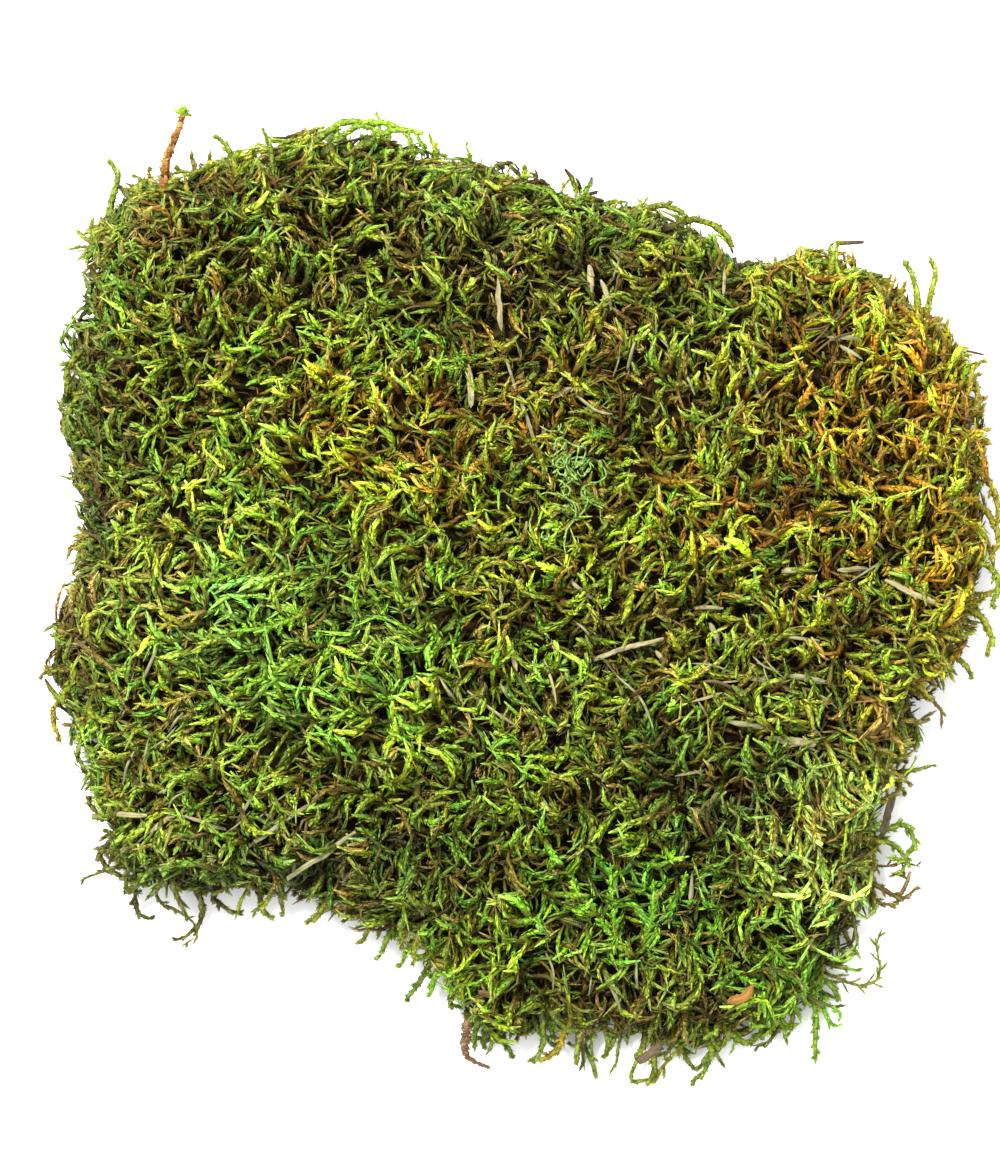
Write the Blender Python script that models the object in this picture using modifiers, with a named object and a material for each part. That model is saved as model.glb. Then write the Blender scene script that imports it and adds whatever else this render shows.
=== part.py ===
"""Moss clump: a torn sheet of feather moss, with the loose fronds at its rim and the litter caught in it.

Run it with: blender --background --python part.py
Metres, +Z up. The sheet lies on the floor at Z = 0, and the origin is under the middle of the whole clump.
The plan is laid out in millimetres, +X to the right and +Y to the top of the sheet as seen from above.
"""

import math

import bmesh
import bpy
from mathutils import Matrix, Vector, noise
from mathutils.bvhtree import BVHTree

MM = 0.001

# The moss sheet
CROWN_THICKNESS = 27 * MM
LOBE_THICKNESS = 14 * MM
RIM_SHARE = 0.42  # the torn rim's height, as a share of the thickness behind it
SHOULDER = 19 * MM  # how far in from the rim the top is still rounding off
HUMMOCK_HEIGHT = 2.6 * MM
HUMMOCK_SPACING = 26 * MM
RIM_TEAR = 2.2 * MM
RIM_TEAR_SPACING = 9 * MM
TEAR_OFFSET = Vector((31.7, 12.3, 5.1))  # sets the noise of the tear along Y apart from that along X
FELT_GRID = 5.6 * MM  # the size of the sheet's facets
UNDERSIDE_SHARE = 0.03  # below this share of its height, a point belongs to the flat underside

# The litter lies in shallow troughs between the shoots.
TROUGH_DEPTH = 2.6 * MM
TROUGH_REACH = 5.5 * MM
GAP = 0.4 * MM  # air left between any two pieces
STEP = 2.5 * MM  # spacing of the points along a straw or a frond

# The sheet's torn outline, clockwise from its right-hand side
OUTLINE = [
    (116, 3), (117, 19), (115, 36), (114, 54), (106, 68), (92, 79), (75, 86), (57, 84),
    (44, 92), (30, 98), (16, 101), (2, 105), (-13, 110), (-29, 115), (-48, 118), (-66, 111),
    (-85, 106), (-102, 98), (-109, 82), (-112, 62), (-113, 43), (-111, 26), (-110, 10), (-115, -5),
    (-117, -22), (-109, -36), (-105, -53), (-98, -67), (-83, -72), (-60, -73), (-45, -78), (-31, -84),
    (-19, -90), (-13, -106), (3, -108), (20, -108), (40, -110), (55, -108), (70, -99), (81, -88),
    (88, -74), (87, -60), (90, -48), (96, -38), (101, -26), (109, -12),
]  # fmt: skip

# Mounds and hollows of the sheet: centre, height above the plain crown (negative for a hollow) and reach
MOUNDS = [
    ((-55, 25), 2.5, 38), ((45, 20), 2.0, 34), ((-20, -35), 1.5, 26), ((35, -85), 1.8, 20),
    ((-42, 90), -4.5, 11), ((-78, 86), -3.5, 9), ((62, -43), -4.0, 14), ((100, 46), -3.5, 7),
    ((-70, -50), -2.0, 20), ((12, 2), -1.5, 12),
]  # fmt: skip

# Dry grass: route in plan, width, and whether it is a flat blade or a round stem
STRAWS = {
    "straw_01": ([(-5.5, 79.5), (-5.2, 72), (-4.7, 66.5)], 1.3, "blade"),
    "straw_02": ([(17.4, 82.4), (17.8, 75)], 1.8, "blade"),
    "straw_03": ([(20.3, 79), (22.8, 71.5)], 1.3, "blade"),
    "straw_04": ([(-12.8, 57.5), (-12.2, 47)], 1.6, "blade"),
    "straw_05": ([(-3.8, 59.5), (0, 49), (4.5, 36), (6.2, 30)], 0.9, "stem"),
    "straw_06": ([(8.3, 49.5), (13.5, 52.2)], 1.5, "blade"),
    "straw_07": ([(-2.2, -12.8), (-0.7, -19.7)], 1.2, "blade"),
    "straw_08": ([(7.8, -11), (10.2, -14.8)], 1.6, "blade"),
    "straw_09": ([(17, -16.6), (26.3, -13), (35.5, -11)], 1.3, "stem"),
    "straw_10": ([(33.8, -13.8), (36.2, -17)], 1.2, "blade"),
    "straw_11": ([(47.5, -7), (49.5, -12.6)], 1.4, "blade"),
    "straw_12": ([(13, 3.2), (18.3, -0.8)], 1.0, "stem"),
    "straw_13": ([(65.2, 6.2), (69.4, 6.3)], 1.5, "blade"),
    "straw_14": ([(79.3, 6.2), (87.4, 6.5)], 1.3, "blade"),
    "straw_15": ([(90.8, 3.8), (97, 0.8), (103, -1.5)], 1.5, "stem"),
    "straw_16": ([(44.3, -3.2), (50.5, -3.2)], 0.9, "stem"),
    "straw_17": ([(53.2, -19.5), (61, -21.3)], 1.5, "blade"),
    "straw_18": ([(66, -20), (75.8, -21.6)], 1.6, "blade"),
    "straw_19": ([(52, -31.5), (62, -32.8)], 1.3, "stem"),
    "straw_20": ([(61.5, -35.2), (67, -36), (73, -37)], 2.0, "blade"),
    "straw_21": ([(-101, -54.3), (-92.8, -54.8)], 1.3, "stem"),
    "straw_22": ([(-92, -58.8), (-85.2, -53)], 1.4, "blade"),
    "straw_23": ([(-83.5, -54.8), (-73.3, -58.2)], 0.9, "stem"),
    "straw_24": ([(-65.8, -61.2), (-59, -56.5), (-52, -51.8)], 1.3, "stem"),
    "straw_25": ([(-57.8, -70.2), (-49.5, -65), (-41, -58.8)], 1.3, "stem"),
    "straw_26": ([(43.5, -68.8), (42.3, -76.3)], 1.4, "blade"),
    "straw_27": ([(76.8, 64.8), (85, 64)], 1.3, "blade"),
}

# Loose fronds that reach past the rim: route in plan, height where it leaves and ends, and thickness
FRONDS = {
    "frond_top_left_tall": ([(-91, 101), (-90.5, 110), (-87.8, 117), (-85.3, 122.5)], 17, 24, 1.9),
    "frond_top_left_low": ([(-104, 95), (-102.5, 102), (-101.3, 106), (-103.6, 111)], 13, 16, 1.7),
    "frond_top_a": ([(-71, 104), (-72.8, 112), (-76.6, 116)], 18, 23, 2.2),
    "frond_top_b": ([(-62, 106), (-62.8, 113.5), (-65.2, 118)], 19, 22, 1.8),
    "frond_right_upper_a": ([(99.8, 67), (99.5, 75), (98, 80.5), (95.4, 84.4)], 20, 24, 1.9),
    "frond_right_upper_b": ([(101.5, 67), (103, 77), (104, 80.5), (102.4, 85.6)], 17, 23, 1.9),
    "frond_right": ([(112, 49), (113.5, 56.5), (117, 60)], 16, 20, 1.7),
    "frond_right_lower_a": ([(90, -49), (97, -44), (100, -39.4)], 10, 13, 1.2),
    "frond_right_lower_b": ([(88, -67), (97, -67.2), (101.6, -67.8)], 6, 4, 1.4),
    "frond_sprig": (
        [(79, -93), (84.3, -95.3), (88.3, -93), (88.3, -89.5), (87.9, -85.5), (90, -81)], 6, 3, 1.5),
    "frond_bottom_right": ([(73, -96), (74.5, -104), (74.5, -110), (74.4, -114.8)], 7, 2, 1.9),
    "frond_bottom_a": ([(45, -108), (38.8, -114.8), (35.5, -118.8), (34, -122.6)], 7, 2, 1.9),
    "frond_bottom_b": ([(18, -105), (18.3, -115.5), (19.8, -121.2)], 6, 2, 1.5),
    "frond_bottom_c": ([(12.5, -105), (9.5, -113.5), (5.8, -115.8), (1.6, -116.4)], 7, 3, 2.3),
    "frond_notch": ([(-17, -89), (-19.8, -93.5), (-23.8, -98.6)], 9, 6, 2.2),
    "frond_bottom_left": (
        [(-92, -70), (-91, -76), (-86.3, -78.5), (-82.8, -81.3), (-80.6, -84.5), (-86, -88.2)], 7, 2, 1.5),
    "frond_left_corner": ([(-96, -66), (-101.8, -67), (-106.5, -62.4)], 8, 5, 1.5),
}  # fmt: skip

# Woody litter at the rim: route in plan, heights, thickness at the two ends, and finish
STICKS = {
    "twig_dark": ([(92.8, -50.6), (90.8, -58.8)], 15, 12, 2.0, 1.8, "dark_bark"),
    "twig_brown": ([(41.5, -108.3), (29.4, -116.4)], 4, 3, 2.0, 2.4, "brown_bark"),
    "root": (
        [(-15.4, -94.5), (-13.6, -101), (-13.4, -108.6), (-13.2, -115.2), (-8, -118)], 7, 1.5, 1.7, 0.6, "root"),
    "needle": ([(103.5, 64), (109.5, 61.9), (116.2, 60.2)], 16, 17, 0.8, 0.6, "dark_bark"),
}  # fmt: skip

LEAF_SCRAP_ROUTE = [(58, -97), (56, -99.8), (52.4, -101)]
LEAF_SCRAP_WIDTH = 2.2 * MM
LICHEN_CENTRE = (12.4, 29.2)
LICHEN_SIZE = (11 * MM, 9 * MM, 2.6 * MM)
BARK_CENTRE = (15.2, -110.6)
BARK_SIZE = (1.9 * MM, 4.2 * MM, 1.1 * MM)
BARK_TURN = math.radians(-14)
BARK_HEIGHT = 3.2 * MM
BLADE_THICKNESS = 0.7 * MM

FINISHES = {
    "moss": ((0.13, 0.20, 0.03), 0.85),
    "frond": ((0.20, 0.30, 0.05), 0.8),
    "straw": ((0.52, 0.46, 0.28), 0.65),
    "dark_bark": ((0.06, 0.045, 0.035), 0.9),
    "brown_bark": ((0.22, 0.13, 0.08), 0.85),
    "root": ((0.38, 0.23, 0.13), 0.8),
    "lichen": ((0.42, 0.55, 0.36), 0.9),
    "leaf_scrap": ((0.45, 0.22, 0.06), 0.7),
}


def clear_scene():
    for obj in list(bpy.data.objects):
        bpy.data.objects.remove(obj)


def finish(name):
    """The material of that finish, made the first time it is asked for."""
    material = bpy.data.materials.get(name)
    if material is None:
        colour, roughness = FINISHES[name]
        material = bpy.data.materials.new(name)
        material.use_nodes = True
        shader = material.node_tree.nodes["Principled BSDF"]
        shader.inputs["Base Color"].default_value = (*colour, 1)
        shader.inputs["Roughness"].default_value = roughness
        shader.inputs["Metallic"].default_value = 0
    return material


def add_object(name, data, collection, material):
    obj = bpy.data.objects.new(name, data)
    collection.objects.link(obj)
    data.materials.clear()
    data.materials.append(finish(material))
    return obj


def evaluated_mesh(obj):
    """A new mesh of the object with its modifiers, its doubles welded."""
    bpy.context.view_layer.update()
    graph = bpy.context.evaluated_depsgraph_get()
    mesh = bpy.data.meshes.new_from_object(obj.evaluated_get(graph))
    body = bmesh.new()
    body.from_mesh(mesh)
    bmesh.ops.remove_doubles(body, verts=body.verts, dist=0.01 * MM)
    body.to_mesh(mesh)
    body.free()
    return mesh


def smooth_route(points, step=STEP):
    """Points every step along a smooth curve through the given ones, in as many dimensions as they have."""
    points = [Vector(p) for p in points]
    ends = [2 * points[0] - points[1], *points, 2 * points[-1] - points[-2]]
    route = []
    for before, start, end, after in zip(ends, ends[1:], ends[2:], ends[3:]):
        pieces = max(1, round((end - start).length / step))
        for i in range(pieces):
            t = i / pieces
            route.append(
                0.5 * (2 * start + (end - before) * t
                       + (2 * before - 5 * start + 4 * end - after) * t * t
                       + (3 * start - before - 3 * end + after) * t ** 3))  # fmt: skip
    return [*route, points[-1]]


def nearest_on(route, point):
    """How far the point is from a route of 2D points."""
    best = math.inf
    for start, end in zip(route, route[1:]):
        along = end - start
        share = max(0.0, min(1.0, (point - start).dot(along) / max(along.length_squared, 1e-18)))
        best = min(best, (start + along * share - point).length)
    return best


def plan(points):
    return [Vector(p) * MM for p in points]


def outline_curve():
    """The torn outline as a closed, smooth 2D curve."""
    curve = bpy.data.curves.new("outline", "CURVE")
    curve.dimensions = "2D"
    curve.fill_mode = "BOTH"
    curve.resolution_u = 4
    spline = curve.splines.new("BEZIER")
    spline.bezier_points.add(len(OUTLINE) - 1)
    for knot, point in zip(spline.bezier_points, plan(OUTLINE)):
        knot.co = (*point, 0)
        knot.handle_left_type = knot.handle_right_type = "AUTO"
    spline.use_cyclic_u = True
    return curve


def thickness_at(point, rim_distance, troughs):
    """Height of the sheet's top over a plan point."""
    x, y = point / MM
    lobe = min(1.0, max(0.0, (-y - 40) / 45)) * min(1.0, max(0.0, (x + 25) / 30))
    height = CROWN_THICKNESS + (LOBE_THICKNESS - CROWN_THICKNESS) * lobe
    for centre, rise, reach in MOUNDS:
        height += rise * MM * math.exp(-((Vector(centre) - Vector((x, y))).length / reach) ** 2)
    at = Vector((*point, 0)) / HUMMOCK_SPACING
    height += HUMMOCK_HEIGHT * (noise.noise(at) + 0.5 * noise.noise(at * 2.3))
    inward = min(1.0, rim_distance / SHOULDER)
    height *= RIM_SHARE + (1 - RIM_SHARE) * math.sqrt(1 - (1 - inward) ** 2)
    trough = max((math.exp(-(nearest_on(route, point) / TROUGH_REACH) ** 2) for route in troughs), default=0)
    return height - TROUGH_DEPTH * trough


def moss_mat(collection, troughs):
    """The felted sheet: a slab of the torn outline, gridded evenly, then raised to its relief."""
    curve = outline_curve()
    curve.extrude = CROWN_THICKNESS / 2
    slab = bpy.data.objects.new("slab", curve)
    slab.location.z = CROWN_THICKNESS / 2
    collection.objects.link(slab)
    blank = bpy.data.objects.new("blank", evaluated_mesh(slab))
    collection.objects.link(blank)
    blank.data.transform(Matrix.Translation(slab.location))
    remesh = blank.modifiers.new("felt", "REMESH")
    remesh.mode = "VOXEL"
    remesh.voxel_size = FELT_GRID
    mesh = evaluated_mesh(blank)
    rim = smooth_route(plan([*OUTLINE, OUTLINE[0]]))
    body = bmesh.new()
    body.from_mesh(mesh)
    top = max(v.co.z for v in body.verts)
    for v in body.verts:
        point = v.co.xy
        distance = nearest_on(rim, point)
        share = max(0.0, v.co.z / top)
        at = v.co / RIM_TEAR_SPACING
        tear = Vector((noise.noise(at), noise.noise(at + TEAR_OFFSET))) * RIM_TEAR
        height = thickness_at(point, distance, troughs)
        v.co.z = 0.0 if share < UNDERSIDE_SHARE else share * height
        if distance < SHOULDER / 3:
            v.co.xy += tear
    flat = [f for f in body.faces if all(v.co.z == 0.0 for v in f.verts)]
    bmesh.ops.dissolve_faces(body, faces=flat, use_verts=False)
    bmesh.ops.recalc_face_normals(body, faces=body.faces)
    body.to_mesh(mesh)
    body.free()
    for helper in (slab, blank):
        bpy.data.objects.remove(helper)
    mat = add_object("moss_mat", mesh, collection, "moss")
    mesh.shade_smooth()
    return mat


class Ground:
    """The sheet as the pieces on and round it see it."""

    def __init__(self, mat):
        body = bmesh.new()
        body.from_mesh(mat.data)
        bmesh.ops.triangulate(body, faces=body.faces)
        self.tree = BVHTree.FromBMesh(body)
        body.free()

    def height(self, point, reach):
        """The highest ground within reach of a plan point; the floor is 0."""
        best = 0.0
        for i in range(9):
            turn = i * math.tau / 8
            away = Vector((math.cos(turn), math.sin(turn))) * (reach if i < 8 else 0.0)
            hit = self.tree.ray_cast(Vector((*(point + away), 1.0)), Vector((0, 0, -1)))[0]
            if hit is not None:
                best = max(best, hit.z)
        return best

    def clears(self, point, reach):
        """Whether a ball of that radius at the point is outside the sheet, with the gap to spare."""
        hit, normal, _, distance = self.tree.find_nearest(point)
        return (point - hit).dot(normal) > 0 and distance > reach + GAP


def strand(name, collection, points, radii, material, half_width=0.0):
    """A tube through 3D points, or a flat blade of that half width lying on its side."""
    curve = bpy.data.curves.new(name, "CURVE")
    curve.dimensions = "3D"
    curve.twist_mode = "Z_UP"
    curve.bevel_resolution = 2 if half_width == 0.0 else 1
    curve.use_fill_caps = True
    curve.bevel_depth = 1.0
    curve.extrude = half_width
    spline = curve.splines.new("POLY")
    spline.points.add(len(points) - 1)
    for knot, point, radius in zip(spline.points, points, radii):
        knot.co = (*point, 1)
        knot.radius = radius
        knot.tilt = math.pi / 2
    obj = bpy.data.objects.new(name, curve)
    collection.objects.link(obj)
    mesh = evaluated_mesh(obj)
    bpy.data.objects.remove(obj)
    mesh.shade_smooth()
    return add_object(name, mesh, collection, material)


def lie_on(ground, route, reach, lift):
    """3D points of a piece that follows the ground under a plan route, lifted clear of it."""
    heights = [ground.height(p, reach) for p in route]
    over = []
    for i, point in enumerate(route):
        over.append(Vector((*point, max(heights[max(0, i - 1):i + 2]) + lift)))
    return over


def tapered(count, full, end_share=0.55):
    """A radius for each of count points: full in the middle, thinner at both ends."""
    middle = (count - 1) / 2
    return [full * (1 - (1 - end_share) * abs(i - middle) ** 3 / max(middle, 1) ** 3) for i in range(count)]


def straws(collection, ground):
    for name, (points, width, form) in STRAWS.items():
        route = smooth_route(plan(points))
        half_width = width * MM / 2
        thick = BLADE_THICKNESS / 2 if form == "blade" else half_width
        laid = lie_on(ground, route, half_width + GAP, thick + GAP)
        # The curve's bevel depth is 1, so a knot's radius scales the blade's width as well as its thickness.
        side = (half_width - thick) / thick if form == "blade" else 0.0
        strand(name, collection, laid, tapered(len(laid), thick), "straw", side)


def outside(ground, points, reach):
    """The stretch of points past the last one that touches the sheet."""
    last = max((i for i, p in enumerate(points) if not ground.clears(p, reach)), default=-1)
    return points[last + 1:]


def fronds(collection, ground):
    for name, (points, rise, fall, width) in FRONDS.items():
        knots = [(*p, rise + (fall - rise) * i / (len(points) - 1)) for i, p in enumerate(points)]
        radius = width * MM / 2
        free = outside(ground, smooth_route(plan(knots), STEP * 0.8), radius)
        strand(name, collection, free, [radius * (1 - 0.55 * i / len(free)) for i in range(len(free))], "frond")


def sticks(collection, ground):
    for name, (points, rise, fall, thick, thin, material) in STICKS.items():
        knots = [(*p, rise + (fall - rise) * i / (len(points) - 1)) for i, p in enumerate(points)]
        free = outside(ground, smooth_route(plan(knots)), thick * MM / 2)
        radii = [(thick + (thin - thick) * i / (len(free) - 1)) * MM / 2 for i in range(len(free))]
        strand(name, collection, free, radii, material)


def leaf_scrap(collection, ground):
    route = smooth_route(plan(LEAF_SCRAP_ROUTE))
    thick = BLADE_THICKNESS / 2
    laid = lie_on(ground, route, LEAF_SCRAP_WIDTH / 2 + GAP, thick + GAP)
    side = (LEAF_SCRAP_WIDTH / 2 - thick) / thick
    strand("leaf_scrap", collection, laid, tapered(len(laid), thick, 0.4), "leaf_scrap", side)


def lichen_tuft(collection, ground):
    """The outer shape of a tangle of lichen threads: a flattened ball."""
    mesh = bpy.data.meshes.new("lichen_tuft")
    body = bmesh.new()
    bmesh.ops.create_uvsphere(body, u_segments=16, v_segments=8, radius=0.5)
    bmesh.ops.scale(body, verts=body.verts, vec=LICHEN_SIZE)
    centre = Vector(LICHEN_CENTRE) * MM
    height = ground.height(centre, LICHEN_SIZE[0] / 2) + LICHEN_SIZE[2] / 2 + GAP
    bmesh.ops.translate(body, verts=body.verts, vec=(*centre, height))
    body.to_mesh(mesh)
    body.free()
    mesh.shade_smooth()
    add_object("lichen_tuft", mesh, collection, "lichen")


def bark_flake(collection):
    """A thin chip of bark with worn edges."""
    mesh = bpy.data.meshes.new("bark_flake")
    body = bmesh.new()
    bmesh.ops.create_cube(body, size=1.0)
    bmesh.ops.scale(body, verts=body.verts, vec=BARK_SIZE)
    bmesh.ops.bevel(
        body, geom=body.edges, offset=BARK_SIZE[2] * 0.25, segments=2, profile=0.5, affect="EDGES", material=-1)
    body.to_mesh(mesh)
    body.free()
    flake = add_object("bark_flake", mesh, collection, "brown_bark")
    flake.location = (*(Vector(BARK_CENTRE) * MM), BARK_HEIGHT)
    flake.rotation_euler.z = BARK_TURN


def centre_on_origin(collection):
    """Moves every piece, so that the origin is under the middle of the clump."""
    bpy.context.view_layer.update()
    corners = [obj.matrix_world @ Vector(c) for obj in collection.objects for c in obj.bound_box]
    low = Vector(map(min, zip(*corners)))
    high = Vector(map(max, zip(*corners)))
    for obj in collection.objects:
        obj.location -= Vector(((low.x + high.x) / 2, (low.y + high.y) / 2, 0))


def main():
    clear_scene()
    clump = bpy.data.collections.new("moss_clump")
    bpy.context.scene.collection.children.link(clump)
    troughs = [smooth_route(plan(points)) for points, _, _ in STRAWS.values()]
    troughs.append(smooth_route(plan(LEAF_SCRAP_ROUTE)))
    ground = Ground(moss_mat(clump, troughs))
    straws(clump, ground)
    fronds(clump, ground)
    sticks(clump, ground)
    leaf_scrap(clump, ground)
    lichen_tuft(clump, ground)
    bark_flake(clump)
    centre_on_origin(clump)


main()
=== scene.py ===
"""Moss clump: the leafy look of a torn sheet of feather moss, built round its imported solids.

Lengths are metres in the part's frame. Plan positions are millimetres on the sheet seen from above, as
the part lays them out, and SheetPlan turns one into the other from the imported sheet's own box.
"""

import logging
import math
from dataclasses import dataclass, field
from enum import Enum

import bmesh
import bpy
import numpy as np
from mathutils import Matrix, Vector, noise
from mathutils.bvhtree import BVHTree


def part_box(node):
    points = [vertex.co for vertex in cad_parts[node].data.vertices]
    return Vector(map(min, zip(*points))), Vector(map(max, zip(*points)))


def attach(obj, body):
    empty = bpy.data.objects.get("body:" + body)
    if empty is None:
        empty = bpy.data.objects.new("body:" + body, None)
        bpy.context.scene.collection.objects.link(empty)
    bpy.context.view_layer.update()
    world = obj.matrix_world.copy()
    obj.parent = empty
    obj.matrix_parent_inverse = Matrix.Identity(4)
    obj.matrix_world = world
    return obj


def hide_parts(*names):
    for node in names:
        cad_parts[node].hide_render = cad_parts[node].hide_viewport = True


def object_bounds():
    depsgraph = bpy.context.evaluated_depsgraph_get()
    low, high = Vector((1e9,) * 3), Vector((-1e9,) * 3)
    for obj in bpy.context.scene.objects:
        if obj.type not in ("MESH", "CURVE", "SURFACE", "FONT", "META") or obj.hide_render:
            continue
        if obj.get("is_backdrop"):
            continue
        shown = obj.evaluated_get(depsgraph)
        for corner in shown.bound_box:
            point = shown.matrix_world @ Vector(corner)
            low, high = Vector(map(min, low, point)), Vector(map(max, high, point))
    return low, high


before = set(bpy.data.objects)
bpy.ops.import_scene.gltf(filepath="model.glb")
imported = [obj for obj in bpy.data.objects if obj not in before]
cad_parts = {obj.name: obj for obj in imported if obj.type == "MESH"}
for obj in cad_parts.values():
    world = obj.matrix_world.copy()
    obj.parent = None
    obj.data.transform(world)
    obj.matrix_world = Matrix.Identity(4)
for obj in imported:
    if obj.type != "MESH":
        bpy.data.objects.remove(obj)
CAD_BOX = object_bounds()

MM = 0.001
FLOOR_GAP = 0.1 * MM
SEED = 20263
SHEET = "moss_mat"
BAKE_MAP = "OFBake"
log = logging.getLogger("moss_clump")

Colour = tuple[float, float, float]
Array = np.ndarray
Socket = bpy.types.NodeSocket


def srgb(red: float, green: float, blue: float) -> Colour:
    """A scene-linear colour from display values.

    Args:
        red: 0 to 255.
        green: 0 to 255.
        blue: 0 to 255.

    Returns:
        The three linear channels.
    """
    channels = np.array([red, green, blue]) / 255
    linear = np.where(channels <= 0.04045, channels / 12.92, ((channels + 0.055) / 1.055) ** 2.4)
    return tuple(float(c) for c in linear)


def unit(vectors: Array) -> Array:
    """Each row of vectors at length 1."""
    return vectors / np.maximum(np.linalg.norm(vectors, axis=-1, keepdims=True), 1e-12)


def smooth_step(low: float, high: float, values: Array) -> Array:
    """0 below low, 1 above high, and a smooth ramp between them."""
    share = np.clip((values - low) / (high - low), 0, 1)
    return share * share * (3 - 2 * share)


def linked(name: str, mesh: bpy.types.Mesh) -> bpy.types.Object:
    """A new object with that mesh, linked to the scene."""
    piece = bpy.data.objects.new(name, mesh)
    bpy.context.scene.collection.objects.link(piece)
    return piece


# ---- The plan of the sheet ----


@dataclass(frozen=True)
class SheetPlan:
    """Where plan millimetres lie in the part's frame."""

    shift: Vector

    @classmethod
    def of_sheet(cls, left: float = -118.07, low: float = -110.73) -> "SheetPlan":
        """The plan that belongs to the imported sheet.

        Args:
            left: the sheet's lowest X on the plan, in millimetres.
            low: the sheet's lowest Y on the plan, in millimetres.

        Returns:
            The plan.
        """
        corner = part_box(SHEET)[0]
        return cls(Vector((corner.x - left * MM, corner.y - low * MM)))

    def at(self, x: float, y: float, z: float = 0.0) -> Vector:
        """The point of the part's frame over plan point (x, y), z millimetres up."""
        return Vector((x * MM + self.shift.x, y * MM + self.shift.y, z * MM))

    def millimetres(self, points: Array) -> Array:
        """Plan coordinates of points of the part's frame, in millimetres."""
        return (points[..., :2] - np.array(self.shift)) / MM


# ---- Regions of growth ----


@dataclass(frozen=True)
class Growth:
    """How the moss grows over one stretch of the sheet."""

    centre: tuple[float, float]
    reach: tuple[float, float]
    body: Colour
    heel: Colour
    lean: float | None = None
    flat: float = 0.0
    length: float = 1.0
    girth: float = 1.0
    dead: float = 0.1
    gilt: float = 0.1
    weight: float = 1.0

    def presence(self, plan: Array) -> Array:
        """How strongly this growth holds at each plan point, from 0 to its weight."""
        away = (plan - np.array(self.centre)) / np.array(self.reach)
        return self.weight * np.exp(-(away**2).sum(-1))

    def heading(self) -> tuple[float, float]:
        """The way its shoots lean, as a plan vector, or no way at all."""
        if self.lean is None:
            return 0.0, 0.0
        return math.cos(math.radians(self.lean)), math.sin(math.radians(self.lean))


OLIVE_HEEL = srgb(104, 72, 16)
GOLD_HEEL = srgb(186, 106, 10)
DARK_HEEL = srgb(58, 42, 12)
TAN_HEEL = srgb(150, 120, 66)

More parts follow.
